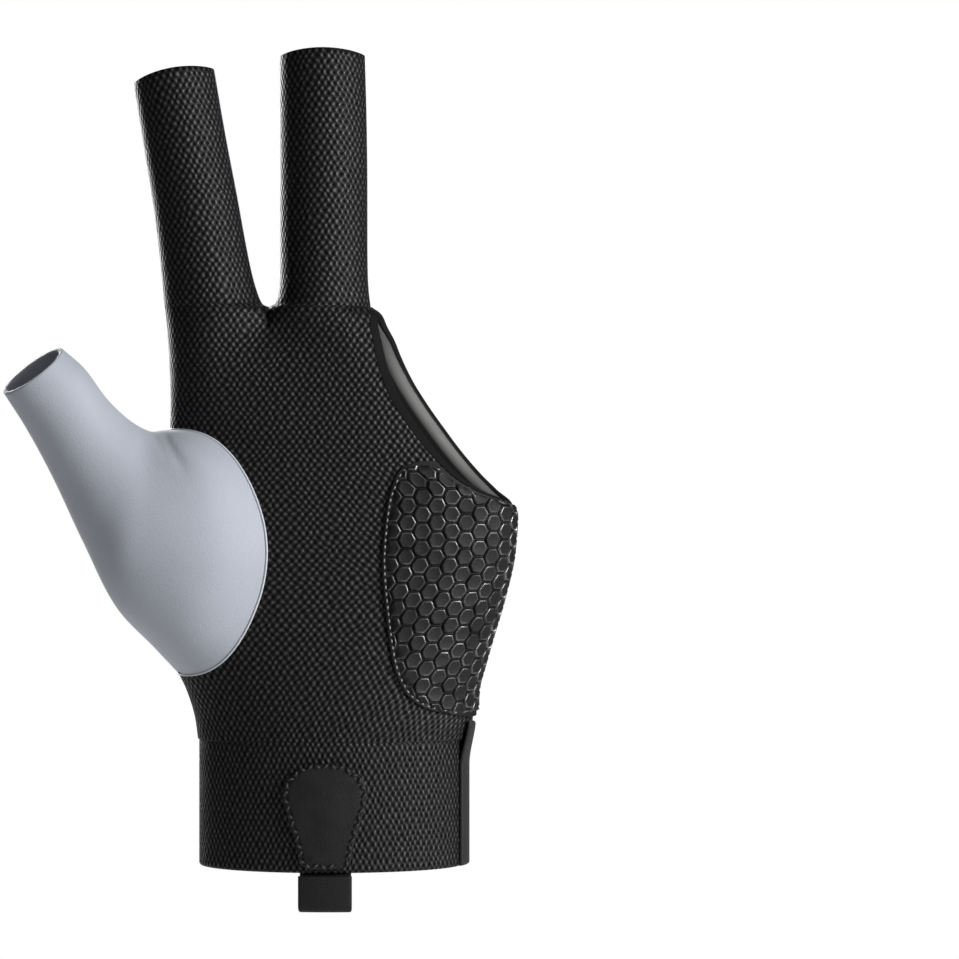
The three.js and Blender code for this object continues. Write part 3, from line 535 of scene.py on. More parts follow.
def math_node(tree, operation, *values):
    """Result of one operation on sockets or numbers."""
    return add(tree, "ShaderNodeMath", dict(enumerate(values)), operation=operation).outputs[0]


def wave(tree, value, period):
    """Cosine of a length along the cloth, once round in one period."""
    return math_node(tree, "COSINE", math_node(tree, "MULTIPLY", value, 2 * math.pi / period))


# Black mesh knit: polyester with open eyelets between knots, each row set off by half a knot.
# The knots' lighter colour is a painted highlight in fine rows of dots; the eyelets' near black is
# painted shade in the holes, and they stay dull.
mesh_knit, tree = new_material("black_mesh_knit")
cloth = cloth_uv(tree)
drift = add(tree, "ShaderNodeVectorMath", {
    0: noise(tree, cloth, 0.22, 2.0)["Color"], 1: (0.5, 0.5, 0.5)}, operation="SUBTRACT")
drift = add(tree, "ShaderNodeVectorMath", {
    0: drift.outputs[0], 1: (DRIFT, DRIFT, 0.0)}, operation="MULTIPLY")
drawn = add(tree, "ShaderNodeVectorMath", {0: cloth, 1: drift.outputs[0]})
split = add(tree, "ShaderNodeSeparateXYZ", {"Vector": drawn.outputs[0]})
knots = math_node(tree, "MULTIPLY", wave(tree, split.outputs["X"], KNOT_PITCH),
                  wave(tree, split.outputs["Y"], 2 * KNOT_ROW))
uneven = math_node(tree, "MULTIPLY_ADD", noise(tree, cloth, 0.75, 3.0)["Fac"], 0.5, -0.25)
height = math_node(tree, "ADD", math_node(tree, "MULTIPLY_ADD", knots, 0.5, 0.42), uneven)
# Colour ramp: painted shade in the eyelets, yarn colour between, painted highlight on the knots.
yarn_colour_with_painted_light = ramp(tree, height, [(0.0, HEX_EYELET_SHADE), (0.35, HEX_YARN), (0.62, HEX_YARN),
                                  (1.0, HEX_KNOT_HIGHLIGHT)])
fuzz = math_node(tree, "MULTIPLY_ADD", noise(tree, cloth, 2.2, 3.0)["Fac"], 0.25, height)
surface(tree, yarn_colour_with_painted_light, math_node(tree, "MULTIPLY_ADD", height, -0.25, 0.65),
        math_node(tree, "MULTIPLY_ADD", height, 0.32, 0.04),
        relief(tree, fuzz, KNOT_RELIEF, 0.9))


def dress(piece, node, material):
    """Puts a finished piece on the glove in place of a node of the frame."""
    piece.data.materials.append(material)
    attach(piece, "root")
    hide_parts(node)


def stretched(uv):
    """The knit as it is drawn out on the hand: u and v of the cloth at rest, from how wide
    and how tall a cell becomes at each height."""
    width = np.interp(uv[:, 1], STRETCH["z"], STRETCH["width"])
    z = np.linspace(STRETCH["z"][0] - 5, STRETCH["z"][-1] + 15, 400)
    cell = np.interp(z, STRETCH["z"], STRETCH["height"])
    rest = np.append(0, np.cumsum(np.diff(z) * KNOT_ROW / cell[1:]))
    return np.stack([uv[:, 0] * KNOT_PITCH / width, np.interp(uv[:, 1], z, rest)], 1)


palm_points, palm_faces, palm_uv, palm_body = hand_panel(-1)
hand_rows = hand_loops(HAND_LEVELS)
# The thumb's hole: the oval of thumb_seam, a little smaller, as a band of stations in each row.
cos_place = (hand_rows.z - THUMB_SEAM_MIDDLE) / (THUMB_SEAM_HEIGHT / 2 - HOLE_INSET)
in_band = np.abs(cos_place) < 1
band_swell = np.sqrt(np.clip(1 - cos_place ** 2, 0, 1)) ** THUMB_SEAM_POWER
front_reach = hand_rows.left + THUMB_SEAM_START + (
    THUMB_SEAM_REACH - HOLE_INSET + THUMB_SEAM_ROOT - hand_rows.left) * band_swell
front = hand_rows.station_at(-1, front_reach)
rear = -(THUMB_SEAM_WRAP - HOLE_INSET / 2) * band_swell
n = FINGER_COLUMNS
palm_stations = np.concatenate([
    spread(hand_rows.radial - hand_rows.total, hand_rows.palm_crotch, n),
    spread(hand_rows.palm_crotch, hand_rows.palm_end, n)[:, 1:]], axis=1)
inside = np.zeros(len(palm_points), bool)
inside[palm_body] = in_band[:, None] & (palm_stations < front[:, None]) & (
    palm_stations > rear[:, None])
palm_faces = drop_inside(palm_faces, inside)
palm = mesh_piece("palm", palm_points, palm_faces, stretched(palm_uv))
use_cloth(palm, MESH_WALL)
dress(palm, "palm_panel", mesh_knit)

# Back panel: grey four-way stretch knit, cut in one piece with the backs of the two tubes.
# It laps the opening's edge further than the palm does.
HEX_GREY = "#9398a1"
HEX_GREY_DEEP = "#8c9099"
HEX_GREY_THREAD = "#6f737d"
HEX_PRINT = "#f2f2f0"
TOPSTITCH_INSET = 1.9
THREAD_SINK = 0.02
FILM_RISE = 0.07
FILM_FOOT = -0.05
PRINT_START = (11.0, 110.5)
PRINT_END = (35.5, 82.5)
PRINT_BARS = 8
BAR_WIDTH = 1.5
BAR_HEIGHT = 4.2
BAR_SLANT = 1.4


class Skin:
    """Bilinear sampler of a laid surface: points and outward normals over a grid of even
    steps, u across and v up."""

    def __init__(self, loops, stations, u, v):
        self.points = loops.lay(stations)
        self.normals = loops.lay(stations, 1.0 + 0 * stations) - self.points
        self.u, self.v = u, v

    def read(self, grid, u, v):
        """A grid's value between its four nearest points."""
        column = np.clip((u - self.u[0]) / (self.u[1] - self.u[0]), 0, len(self.u) - 1.001)
        row = np.clip((v - self.v[0]) / (self.v[1] - self.v[0]), 0, len(self.v) - 1.001)
        j, i = column.astype(int), row.astype(int)
        s, t = (column - j)[..., None], (row - i)[..., None]
        return ((1 - t) * ((1 - s) * grid[i, j] + s * grid[i, j + 1])
                + t * ((1 - s) * grid[i + 1, j] + s * grid[i + 1, j + 1]))

    def at(self, u, v, offset):
        """Points of the surface at u and v, moved outward by offset."""
        normals = self.read(self.normals, u, v)
        return self.read(self.points, u, v) + normals * np.asarray(offset)[..., None]


def unit(vectors):
    """Vectors brought to length 1."""
    return vectors / np.maximum(np.linalg.norm(vectors, axis=-1, keepdims=True), 1e-9)


def stitches(name, path, normals, stitch, gap, width, swing=0.0):
    """Row of thread stitches along a path: short rods, thin at both ends and bowed out of
    the cloth by a half sine; swing slants each one to the other side of the path."""
    step = np.linalg.norm(np.diff(path, axis=0), axis=1)
    length = np.append(0, np.cumsum(step))
    count = int((length[-1] - stitch) // (stitch + gap)) + 1
    share = np.linspace(0, 1, 6)
    at = np.arange(count)[:, None] * (stitch + gap) + share * stitch
    centre = np.stack([np.interp(at, length, path[:, k]) for k in range(3)], 2)
    normal = unit(np.stack([np.interp(at, length, normals[:, k]) for k in range(3)], 2))
    along = unit(np.gradient(centre, axis=1))
    across = np.cross(along, normal)
    slant = np.where(np.arange(count) % 2, 1.0, -1.0)[:, None] * (2 * share - 1)
    centre += across * (swing * slant)[..., None]
    centre += normal * (0.4 * width * np.sin(np.pi * share) - 0.1 * width)[:, None]
    thick = width / 2 * np.array([0.45, 0.9, 1, 1, 0.9, 0.45])
    angle = np.linspace(0, 2 * np.pi, 6, endpoint=False)[:, None]
    ring = (np.cos(angle) * across[:, :, None] + np.sin(angle) * normal[:, :, None])
    points = centre[:, :, None] + ring * thick[:, None, None]
    ids = np.arange(points.size // 3).reshape(count, 6, 6)
    wrapped = np.concatenate([ids, ids[:, :, :1]], axis=2)
    quads = np.stack([wrapped[:, :-1, :-1], wrapped[:, 1:, :-1], wrapped[:, 1:, 1:],
                      wrapped[:, :-1, 1:]], axis=3).reshape(-1, 4)
    return mesh_piece(name, points.reshape(-1, 3), [quads, ids[:, 0], ids[:, -1, ::-1]])


def closed_sheet(name, outer, inner, uv=None):
    """Closes two grids into a sheet: outer and inner walls and a rim of quads between."""
    rows, cols = outer.shape[:2]
    a = np.arange(rows * cols).reshape(rows, cols)
    b = a + rows * cols
    rim_a = np.concatenate([a[0, :-1], a[:-1, -1], a[-1, :0:-1], a[:0:-1, 0]])
    rim_b = np.concatenate([b[0, :-1], b[:-1, -1], b[-1, :0:-1], b[:0:-1, 0]])
    rim = np.stack([rim_a, rim_b, np.roll(rim_b, -1), np.roll(rim_a, -1)], 1)
    points = np.concatenate([outer.reshape(-1, 3), inner.reshape(-1, 3)])
    if uv is not None:
        uv = np.concatenate([uv.reshape(-1, 2)] * 2)
    return mesh_piece(name, points, [grid_faces(a), grid_faces(b)[:, ::-1], rim], uv)


def laid_sheet(name, loops, stations, outer, inner, uv=None):
    """Closed sheet whose two faces lie at outer and inner offsets over the same stations."""
    return closed_sheet(name, loops.lay(stations, outer), loops.lay(stations, inner), uv)


def laid_line(loops, stations, offset):
    """A line laid on one outline, or through one station of each, with its normals."""
    offset = np.full(np.shape(stations), float(offset))
    path = loops.lay(stations, offset).reshape(-1, 3)
    return path, loops.lay(stations, offset + 1).reshape(-1, 3) - path


def print_bar(name, skin, u, v, cloth_top, rise, node):
    """Film of white print over a small grid, its foot sunk into the cloth."""
    film = [skin.at(u, v, np.full(u.shape, cloth_top + face)) for face in (rise, FILM_FOOT)]
    dress(closed_sheet(name, *film), node, white_print)


# Grey stretch knit: nylon and elastane, so fine that it looks smooth. A soft sheen at grazing
# angles and faint clouds of tone tell it from plastic.
stretch_knit, tree = new_material("grey_stretch_knit")
place = in_object(tree)
cloud = noise(tree, place, 45.0, 2.0, Roughness=0.5)["Fac"]
surface(tree, ramp(tree, cloud, [(0.3, HEX_GREY_DEEP), (0.7, HEX_GREY)]), 0.62, 0.35,
        relief(tree, noise(tree, place, 1800.0, 2.0)["Fac"], 0.2 * MM, 0.35), (0.25, 0.45))

# Grey thread: twisted polyester, a little darker and glossier than the cloth, so that a row of
# it reads as dashes.
grey_thread, tree = new_material("grey_polyester_thread")
surface(tree, HEX_GREY_THREAD, 0.45, 0.45)

# White print: a heat-transferred film, even and half matt, which stands out bright and flat.
white_print, tree = new_material("white_heat_transfer_print")
surface(tree, HEX_PRINT, 0.5, 0.4)

back_points, back_faces, back_uv, _ = hand_panel(1)
back = mesh_piece("back", back_points, back_faces, back_uv)
use_cloth(back, CLOTH_WALL)
dress(back, "back_panel", stretch_knit)

# Topstitching: a zig-zag inside the thumb-side seam, from the index finger's mouth to the cuff.
side_rows = hand_loops(np.linspace(0.998, 0.02, 200))
side_line = laid_line(side_rows, (side_rows.radial - TOPSTITCH_INSET)[:, None], -THREAD_SINK)
tip_rows = finger_loops(INDEX_TABLE, 80)
tip_line = laid_line(tip_rows, (tip_rows.total - TOPSTITCH_INSET)[:, None], -THREAD_SINK)
radial_line = [np.concatenate([tip[::-1], side]) for tip, side in zip(tip_line, side_line)]
dress(stitches("radial_stitches", *radial_line, stitch=1.5, gap=0.35, width=0.36, swing=0.35),
      "back_panel", grey_thread)

# Printed motif: plain slanted bars in a diagonal row, a heat-transferred film.
print_x = np.arange(0.0, 44.0, 0.5)
print_z = np.arange(74.0, 122.0, 0.5)
print_rows = hand_loops((print_z - CUFF_HEIGHT) / HAND_HEIGHT)
print_skin = Skin(print_rows, np.stack([print_rows.station_at(1, x) for x in print_x], 1),
                  print_x, print_z)
row_start, row_end = np.array(PRINT_START), np.array(PRINT_END)
row_aim = unit(row_end - row_start)
row_rise = np.array([-row_aim[1], row_aim[0]])
for k in range(PRINT_BARS):
    middle = row_start + (row_end - row_start) * k / (PRINT_BARS - 1)
    across, up = np.meshgrid(np.linspace(-0.5, 0.5, 5), np.linspace(-0.5, 0.5, 12))
    flat = (middle + (across * BAR_WIDTH + up * BAR_SLANT)[..., None] * row_aim
            + (up * BAR_HEIGHT)[..., None] * row_rise)
    print_bar("print_bar_%d" % (k + 1), print_skin, flat[..., 0], flat[..., 1], 0.0, FILM_RISE,
              "back_panel")

# Thumb: the same grey knit, sewn to a tube and set into the palm's oval hole, open at its end.
THUMB_LENGTH = 60.0
THUMB_WIDTH = 18.4
THUMB_CROTCH = (-41.6, 107.9)
THUMB_BALL_RISE = 3.0
THUMB_BALL_PLACE = 0.42
THUMB_TILT = 17.0
THUMB_TURN = 2
THUMB_ROWS, THUMB_COLUMNS = 120, 161
# Its upper seam: one column of the grid, from the crotch to the mouth.
THUMB_TOP_SEAM = (slice(48, 119), 146)
# Each crease runs from a point at the crotch to one on the ball, with a depth and a width.
THUMB_CREASES = [((-41.5, 108.0), (-35.5, 99.0), 0.9, 1.3),
                 ((-43.5, 107.5), (-39.5, 101.5), 0.6, 1.0),
                 ((-39.5, 108.0), (-31.5, 103.5), 0.45, 1.4)]
PIPING_RADIUS = 0.28
# Seam edge colour: paler than the knit as a painted highlight.
HEX_SEAM_HIGHLIGHT = "#a9acb4"
THUMB_TABLE = {
    "left":    [-0.637, -0.547, -0.445, -0.326, -0.186],
    "low":     [0.161, 0.014, -0.182, -0.445, -0.727],
    "right":   [-0.396, -0.310, -0.215, -0.120, -0.050],
    "high":    [0.337, 0.260, 0.130, 0.040, 0.003],
    "forward": [0.285, 0.255, 0.222, 0.185, 0.150],
    "depth":   [1.00, 1.05, 1.17, 1.38, 1.66],
}


def tube(name, path, normals, radius, sides, flat):
    """Rod round a path: rings spanned by the cloth's normal and the direction across both,
    squashed along the normal by flat, with a cap at each end."""
    along = unit(np.gradient(path, axis=0))
    across = unit(np.cross(along, normals))
    rise = np.cross(across, along) * flat
    angle = np.linspace(0, 2 * np.pi, sides, endpoint=False)[None, :, None]
    ring = np.cos(angle) * across[:, None] + np.sin(angle) * rise[:, None]
    points = path[:, None] + ring * radius
    ids = np.arange(len(path) * sides).reshape(len(path), sides)
    wrapped = np.concatenate([ids, ids[:, :1]], axis=1)
    return mesh_piece(name, points.reshape(-1, 3), [
        grid_faces(wrapped)[:, ::-1], ids[:1], ids[-1:, ::-1]])


def thumb_seam(angle):
    """Oval seam on the hand: z = middle + half height * cos, and at each height a length
    along the outline that swells as a power of |sin|, to the palm on one half, to the back
    on the other."""
    z = THUMB_SEAM_MIDDLE + THUMB_SEAM_HEIGHT / 2 * np.cos(angle)
    loops = hand_loops((z - CUFF_HEIGHT) / HAND_HEIGHT)
    swell = np.abs(np.sin(angle)) ** THUMB_SEAM_POWER
    reach = (THUMB_SEAM_REACH + THUMB_SEAM_ROOT - loops.left) * swell
    palm = loops.station_at(-1, loops.left + THUMB_SEAM_START + reach)
    return loops, np.where(np.sin(angle) >= 0, palm, -THUMB_SEAM_WRAP * swell)


def smooth_rows(rows, count):
    """Centripetal Catmull-Rom curves through the rows: knots are spaced by the square root
    of each chord, tangents come from the three neighbouring chords."""
    rows = np.concatenate([[2 * rows[0] - rows[1]], rows, [2 * rows[-1] - rows[-2]]])
    place = np.linspace(0, len(rows) - 3, count)
    k = np.minimum(place.astype(int), len(rows) - 4)
    t = (place - k)[:, None, None]
    p0, p1, p2, p3 = (rows[k + j] for j in range(4))
    d0, d1, d2 = (np.maximum(np.linalg.norm(b - a, axis=2, keepdims=True), 1e-6) ** 0.5
                  for a, b in ((p0, p1), (p1, p2), (p2, p3)))
    m1 = ((p1 - p0) / d0 - (p2 - p0) / (d0 + d1) + (p2 - p1) / d1) * d1
    m2 = ((p2 - p1) / d1 - (p3 - p1) / (d1 + d2) + (p3 - p2) / d2) * d1
    return ((2 * t ** 3 - 3 * t ** 2 + 1) * p1 + (t ** 3 - 2 * t ** 2 + t) * m1
            + (3 * t ** 2 - 2 * t ** 3) * p2 + (t ** 3 - t ** 2) * m2)


def thumb_rows(angle, count):
    """The oval seam, the ball above it and the ellipses from there to the mouth, joined by
    smooth curves."""
    base, station = thumb_seam(angle)
    seam = base.lay(station[:, None])[:, 0]
    ovals = []
    for k in range(len(THUMB_TABLE["depth"])):
        t = {name: column[k] * THUMB_LENGTH for name, column in THUMB_TABLE.items()}
        low = np.array([THUMB_CROTCH[0] + t["left"], -t["forward"], THUMB_CROTCH[1] + t["low"]])
        high = np.array([THUMB_CROTCH[0] + t["right"], -t["forward"], THUMB_CROTCH[1] + t["high"]])
        across = (high - low) / 2
        along = np.array([-across[2], 0, across[0]]) / np.hypot(across[0], across[2])
        tilt = math.radians(THUMB_TILT - THUMB_TURN * k)
        ahead = -math.sin(tilt) * along + np.array([0, -math.cos(tilt), 0])
        ahead *= THUMB_TABLE["depth"][k] * THUMB_WIDTH / 2
        ovals.append((low + high) / 2 + np.cos(angle)[:, None] * across
                     + np.sin(angle)[:, None] * ahead)
    ovals = ovals[::-1]
    swell = np.clip(np.sin(angle), 0, 1) ** 0.7
    ball = seam + THUMB_BALL_PLACE * (ovals[0] - seam)
    ball[:, 1] -= THUMB_BALL_RISE * swell
    return smooth_rows(np.array([seam, ball, *ovals]), count)


# Light seam edge: the turned edge of the grey knit, its paler colour a painted highlight on the
# raised edge, so that a fine bright line rounds the ball.
highlight_piping, tree = new_material("light_grey_seam_edge")
surface(tree, HEX_SEAM_HIGHLIGHT, 0.55, 0.4)

thumb_grid = thumb_rows(np.linspace(0, 2 * np.pi, THUMB_COLUMNS), THUMB_ROWS)
for (x0, z0), (x1, z1), depth, width in THUMB_CREASES:
    run = np.array([x1 - x0, z1 - z0])
    far = thumb_grid[..., [0, 2]] - (x0, z0)
    share = np.clip(far @ run / (run @ run), 0, 1)
    away = np.linalg.norm(far - share[..., None] * run, axis=2) / width
    thumb_grid[..., 1] += np.where(thumb_grid[..., 1] < 0, 1, 0) * depth * (
        np.exp(-away ** 2) * (1 - 0.75 * share))
thumb_ids = np.arange(THUMB_ROWS * THUMB_COLUMNS).reshape(THUMB_ROWS, THUMB_COLUMNS)
thumb_ids[:, -1] = thumb_ids[:, 0]
thumb_piece = mesh_piece("thumb_tube", thumb_grid.reshape(-1, 3), [grid_faces(thumb_ids)[:, ::-1]])
use_cloth(thumb_piece, CLOTH_WALL)
dress(thumb_piece, "thumb", stretch_knit)

piping_angle = np.linspace(0.0, np.pi, 160)
seam_loops, seam_station = thumb_seam(piping_angle)
piping_line = laid_line(seam_loops, seam_station[:, None], 0.12)
dress(tube("thumb_piping", *piping_line, PIPING_RADIUS, 10, 0.8),
      "thumb", highlight_piping)

thumb_normal = unit(np.cross(np.gradient(thumb_grid, axis=0), np.gradient(thumb_grid, axis=1)))
dress(stitches("thumb_stitches", thumb_grid[THUMB_TOP_SEAM], thumb_normal[THUMB_TOP_SEAM],
               stitch=1.5, gap=0.6, width=0.36, swing=0.18), "thumb", grey_thread)

# Cuff: a band of two halves, mesh on the palm side and grey knit on the back, folded double,
# sewn to the hand and closed at both sides.
CUFF_WALL = 1.6
TOPSTITCH_RISE = 1.3
CUFF_STRETCH = 1.1


def cuff_loops(heights, trace=80):
    """The cuff's outline, one ellipse of its width and depth, at each height."""
    heights = np.asarray(heights, float)
    low = np.stack([np.full_like(heights, -CUFF_WIDTH / 2), 0 * heights, heights], 1)
    high = low * (-1, 1, 1)
    return oval_loops(low, high, np.full_like(heights, CUFF_DEPTH / 2), 0 * heights, trace)


def rolled_offsets(outer, inner, stations, start, end, heights, low, high):
    """Outer and inner offsets of a sheet whose four edges are rounded over half its wall."""
    radius = (outer - inner) / 2
    near = np.minimum(stations - start[:, None], end[:, None] - stations)
    near = np.minimum(near, np.minimum(heights - low, high - heights)[:, None])
    drop = radius - np.sqrt(radius ** 2 - (radius - np.clip(near, 0, radius)) ** 2)
    return outer - drop, inner + drop


def edged(start, end, count, radius=0.8):
    """Stations from start to end, with extra ones where the edges are rounded."""
    extra = radius * np.array([0, 0.04, 0.15, 0.35, 0.65, 1.0])
    start, end = np.asarray(start, float)[:, None], np.asarray(end, float)[:, None]
    share = np.linspace(0, 1, count + 1)[None, 1:-1]
    middle = start + radius + share * (end - start - 2 * radius)
    return np.concatenate([start + extra, middle, end - extra[::-1]], axis=1)


cuff_heights = edged([0.0], [CUFF_HEIGHT - 0.1], 40)[0]
cuff = cuff_loops(cuff_heights)
for name, node, first, last, material, slot in (
        ("cuff_front", "cuff_palm", 0 * cuff.half, cuff.half, mesh_knit, "mesh_cloth"),
        ("cuff_rear", "cuff_back", cuff.half, cuff.total, stretch_knit, "stretch_cloth")):
    stations = edged(first + 0.05, last - 0.05, 100)
    outer, inner = rolled_offsets(0, -CUFF_WALL, stations, first, last, cuff_heights,
                                  0.0, CUFF_HEIGHT)
    cloth = np.stack([CUFF_STRETCH * (stations - ((first + last) / 2)[:, None]),
                      np.repeat(cuff_heights[:, None], stations.shape[1], 1)], 2)
    dress(laid_sheet(name, cuff, stations, outer, inner, cloth), node, material)

# Two rows of zig-zag on the back, one on each side of the seam between hand and cuff.
for base, height in (("hand", CUFF_HEIGHT + TOPSTITCH_RISE),
                     ("cuff", CUFF_HEIGHT - TOPSTITCH_RISE)):
    if base == "hand":
        ring = hand_loops(np.array([(height - CUFF_HEIGHT) / HAND_HEIGHT]))
        first, last = ring.back_end[0] + 1, ring.radial[0] - 1
    else:
        ring = cuff_loops([height])
        first, last = ring.half[0] + 10, ring.total[0] - 0.8
    line = laid_line(ring, np.linspace(first, last, 160)[None, :], -THREAD_SINK)
    dress(stitches("cuff_stitches_" + base, *line, stitch=1.3, gap=0.45, width=0.38,
                   swing=0.22), "cuff_back", grey_thread)

# Opening facing: a strip of smooth dark lining sewn inside the slanted edge where the ring and
# little fingers come out, on the back panel. A thin black cord is rolled into its outer edge.
FACING_WALL = 0.8
FACING_WIDTH = 8.0
FACING_GAP = 0.05
FACING_FROM, FACING_TO = 0.545, 0.985
FACING_TAPER = 0.05
HEM_FROM, HEM_TO = 0.552, 0.992
HEM_WIDTH = 1.7
HEM_SPREAD = 0.3
HEM_LAP = 0.45
HEM_RISE = 0.14
HEM_FOOT = -0.4
CORD_FROM, CORD_TO = 0.538, 0.997
CORD_SINK = 0.35
EDGE_CORD = 0.42
CORD_FLATNESS = 2.2
# Facing colours: a painted lit tone near the edge and a painted shade tone deeper inside.
HEX_FACING_LIT = "#c9c8c6"
HEX_FACING_SHADE = "#1e1e1e"
HEX_BLACK = "#0c0c0d"

# Smooth dark lining: brushed nylon, half matt, with a soft sheen. Its colour is painted pale
# towards the edge, where the light falls in, and painted dark as shade deeper inside.
smooth_lining, tree = new_material("smooth_dark_lining")
painted_shade_depth = add(tree, "ShaderNodeSeparateXYZ", {"Vector": cloth_uv(tree)}).outputs["X"]
surface(tree, ramp(tree, painted_shade_depth, [
    (0.03, HEX_BLACK), (0.06, HEX_FACING_LIT), (0.2, HEX_FACING_LIT), (0.56, HEX_FACING_SHADE)]), 0.45, 0.4,
        relief(tree, noise(tree, in_object(tree), 900.0, 2.0)["Fac"], 0.1 * MM, 0.3), (0.3, 0.4))

# Black edge cloth: a plain woven tape, quite dull, so that edges read as black lines.
black_cloth, tree = new_material("black_edge_cloth")
surface(tree, HEX_BLACK, 0.8, 0.12,
        relief(tree, noise(tree, in_object(tree), 1500.0, 2.0)["Fac"], 0.15 * MM, 0.4))

facing_levels = edged([FACING_FROM], [FACING_TO], 90, 0.008)[0]
facing_rows = hand_loops(facing_levels)
facing_start = facing_rows.back_end - 0.1
ends = np.minimum(facing_levels - FACING_FROM, FACING_TO - facing_levels)
ends = np.sqrt(np.clip(ends / FACING_TAPER, 0.02, 1))
facing_end = facing_start + FACING_WIDTH * ends
facing_stations = edged(facing_start, facing_end, 24, FACING_WALL / 2)
outer, inner = rolled_offsets(
    -CLOTH_WALL - FACING_GAP, -CLOTH_WALL - FACING_GAP - FACING_WALL, facing_stations,
    facing_start, facing_end, facing_rows.z, facing_rows.z[0], facing_rows.z[-1])
# The share across the facing, as its uv, places the painted light and shade.
facing_share = (facing_stations - facing_start[:, None]) / FACING_WIDTH
dress(laid_sheet("facing", facing_rows, facing_stations, outer, inner,
                 np.stack([facing_share, facing_share], 2)),
      "opening_facing", smooth_lining)

# Hem of the palm: a narrow tape folded over its edge, widest where no pad covers it.
hem_levels = edged([HEM_FROM], [HEM_TO], 90, 0.006)[0]
hem_rows = hand_loops(hem_levels)
hem_width = HEM_WIDTH + HEM_SPREAD * smooth_step(0.63, 0.68, hem_levels)
hem_start, hem_end = hem_rows.palm_end - hem_width, hem_rows.palm_end + HEM_LAP
hem_stations = edged(hem_start, hem_end, 12, 0.3)
outer, inner = rolled_offsets(HEM_RISE, HEM_FOOT, hem_stations, hem_start, hem_end, hem_rows.z,
                              hem_rows.z[0], hem_rows.z[-1])
dress(laid_sheet("palm_hem", hem_rows, hem_stations, outer, inner), "palm_panel", black_cloth)

cord_rows = hand_loops(np.linspace(CORD_FROM, CORD_TO, 160))
cord_line = laid_line(cord_rows, (cord_rows.back_end - 0.05)[:, None],
                      -0.5 * CLOTH_WALL - CORD_SINK)
dress(tube("facing_edge", *cord_line, EDGE_CORD, 12, CORD_FLATNESS),
      "opening_facing", black_cloth)

# Grip pad: moulded silicone rubber on the heel of the palm, for a hand sliding on the table.
# A thin base carries a carpet of hexagonal tiles with rounded shoulders; its edge is sewn down.
PAD_GAP = 0.05
PAD_BASE = 0.8
TILE_RISE = 0.7
TILE_PITCH = 4.2
TILE_GROOVE = 0.4
TILE_COLUMNS, TILE_ROWS = 14, 17
TILE_CORNER = 0.16
TILE_DISH = 0.10
TILE_FOOT = 0.14
PAD_MARGIN = 1.1
PAD_STITCH_INSET = 0.7
PAD_STITCHES_TOP = 90.0
HEX_RUBBER = "#090909"
# Rim colour: a painted highlight on the rubbed rims.
HEX_RIM_GLINT = "#232325"
HEX_PAD_THREAD = "#77777a"
PAD_TABLE = {
    "level":  [0.049, 0.063, 0.083, 0.114, 0.175, 0.277, 0.409, 0.526, 0.593, 0.625, 0.641],
    "across": [0.381, 0.299, 0.241, 0.203, 0.173, 0.155, 0.143, 0.154, 0.174, 0.196, 0.244],
}


def pad_span(loops, levels):
    """Stations between which the pad lies: from its left edge to the side or the opening."""
    across = read_column(PAD_TABLE["level"], PAD_TABLE["across"], levels)
    start = loops.station_at(-1, across * HAND_WIDTH)
    end = loops.palm_end - np.where(loops.is_open, 2.0, 0.8)
    return start, np.maximum(end, start + 0.6)


# Moulded black silicone: satin rubber with fine pores. The tiles' rims are rubbed smooth in
# patches, and there a painted highlight lightens their colour into broken bright outlines.
silicone, tree = new_material("moulded_black_silicone")
place = in_object(tree)
polish_and_painted_glint = add(tree, "ShaderNodeMapRange", {
    "Value": noise(tree, place, 240.0, 2.0)["Fac"], "From Min": 0.35, "From Max": 0.58})
rim = math_node(tree, "MULTIPLY", polish_and_painted_glint.outputs["Result"], add(
    tree, "ShaderNodeSeparateXYZ", {"Vector": cloth_uv(tree)}).outputs["X"])
dulled = math_node(tree, "MULTIPLY_ADD", rim, -0.36, 0.44)
# The rims' lighter colour is a painted highlight, on top of their real gloss.
surface(tree, ramp(tree, rim, [(0.0, HEX_RUBBER), (0.45, HEX_RUBBER), (1.0, HEX_RIM_GLINT)]),
        math_node(tree, "MULTIPLY_ADD", noise(tree, place, 90.0, 4.0)["Fac"], 0.3, dulled),
        math_node(tree, "MULTIPLY_ADD", rim, 1.0, 0.2),
        relief(tree, noise(tree, place, 1400.0, 3.0)["Fac"], 0.12 * MM, 0.5))

pad_levels = edged([PAD_TABLE["level"][0]], [PAD_TABLE["level"][-1]], 70, 0.006)[0]
pad_rows = hand_loops(pad_levels)
pad_start, pad_end = pad_span(pad_rows, pad_levels)
pad_stations = edged(pad_start, pad_end, 70, 0.5)
outer, inner = rolled_offsets(PAD_GAP + PAD_BASE, PAD_GAP, pad_stations, pad_start, pad_end,
                              pad_rows.z, pad_rows.z[0] - 0.2, pad_rows.z[-1] + 0.2)
dress(laid_sheet("pad_base", pad_rows, pad_stations, outer, inner,
                 np.zeros((*pad_stations.shape, 2))), "grip_pad", silicone)

pad_v = np.arange(34.0, 106.0, 0.5)
pad_u = np.arange(-6.0, 42.0, 0.5)
skin_levels = (pad_v - CUFF_HEIGHT) / HAND_HEIGHT
skin_rows = hand_loops(skin_levels)
pad_skin = Skin(skin_rows, skin_rows.half[:, None] + 2 - pad_u[None, :], pad_u, pad_v)
span_start, span_end = pad_span(skin_rows, skin_levels)
far_u = skin_rows.half + 2 - span_start
near_u = skin_rows.half + 2 - span_end


def hex_ring(radius, cut):
    """Twelve points of a flat-topped hexagon whose corners are cut back along both sides."""
    angle = np.radians(np.arange(0, 360, 60))
    corner = radius * np.stack([np.cos(angle), np.sin(angle)], 1)
    ahead = unit(np.roll(corner, -1, axis=0) - corner)
    behind = unit(np.roll(corner, 1, axis=0) - corner)
    return np.stack([corner + cut * behind, corner + cut * ahead], 1).reshape(12, 2)


tile_radius = TILE_PITCH / math.sqrt(3)
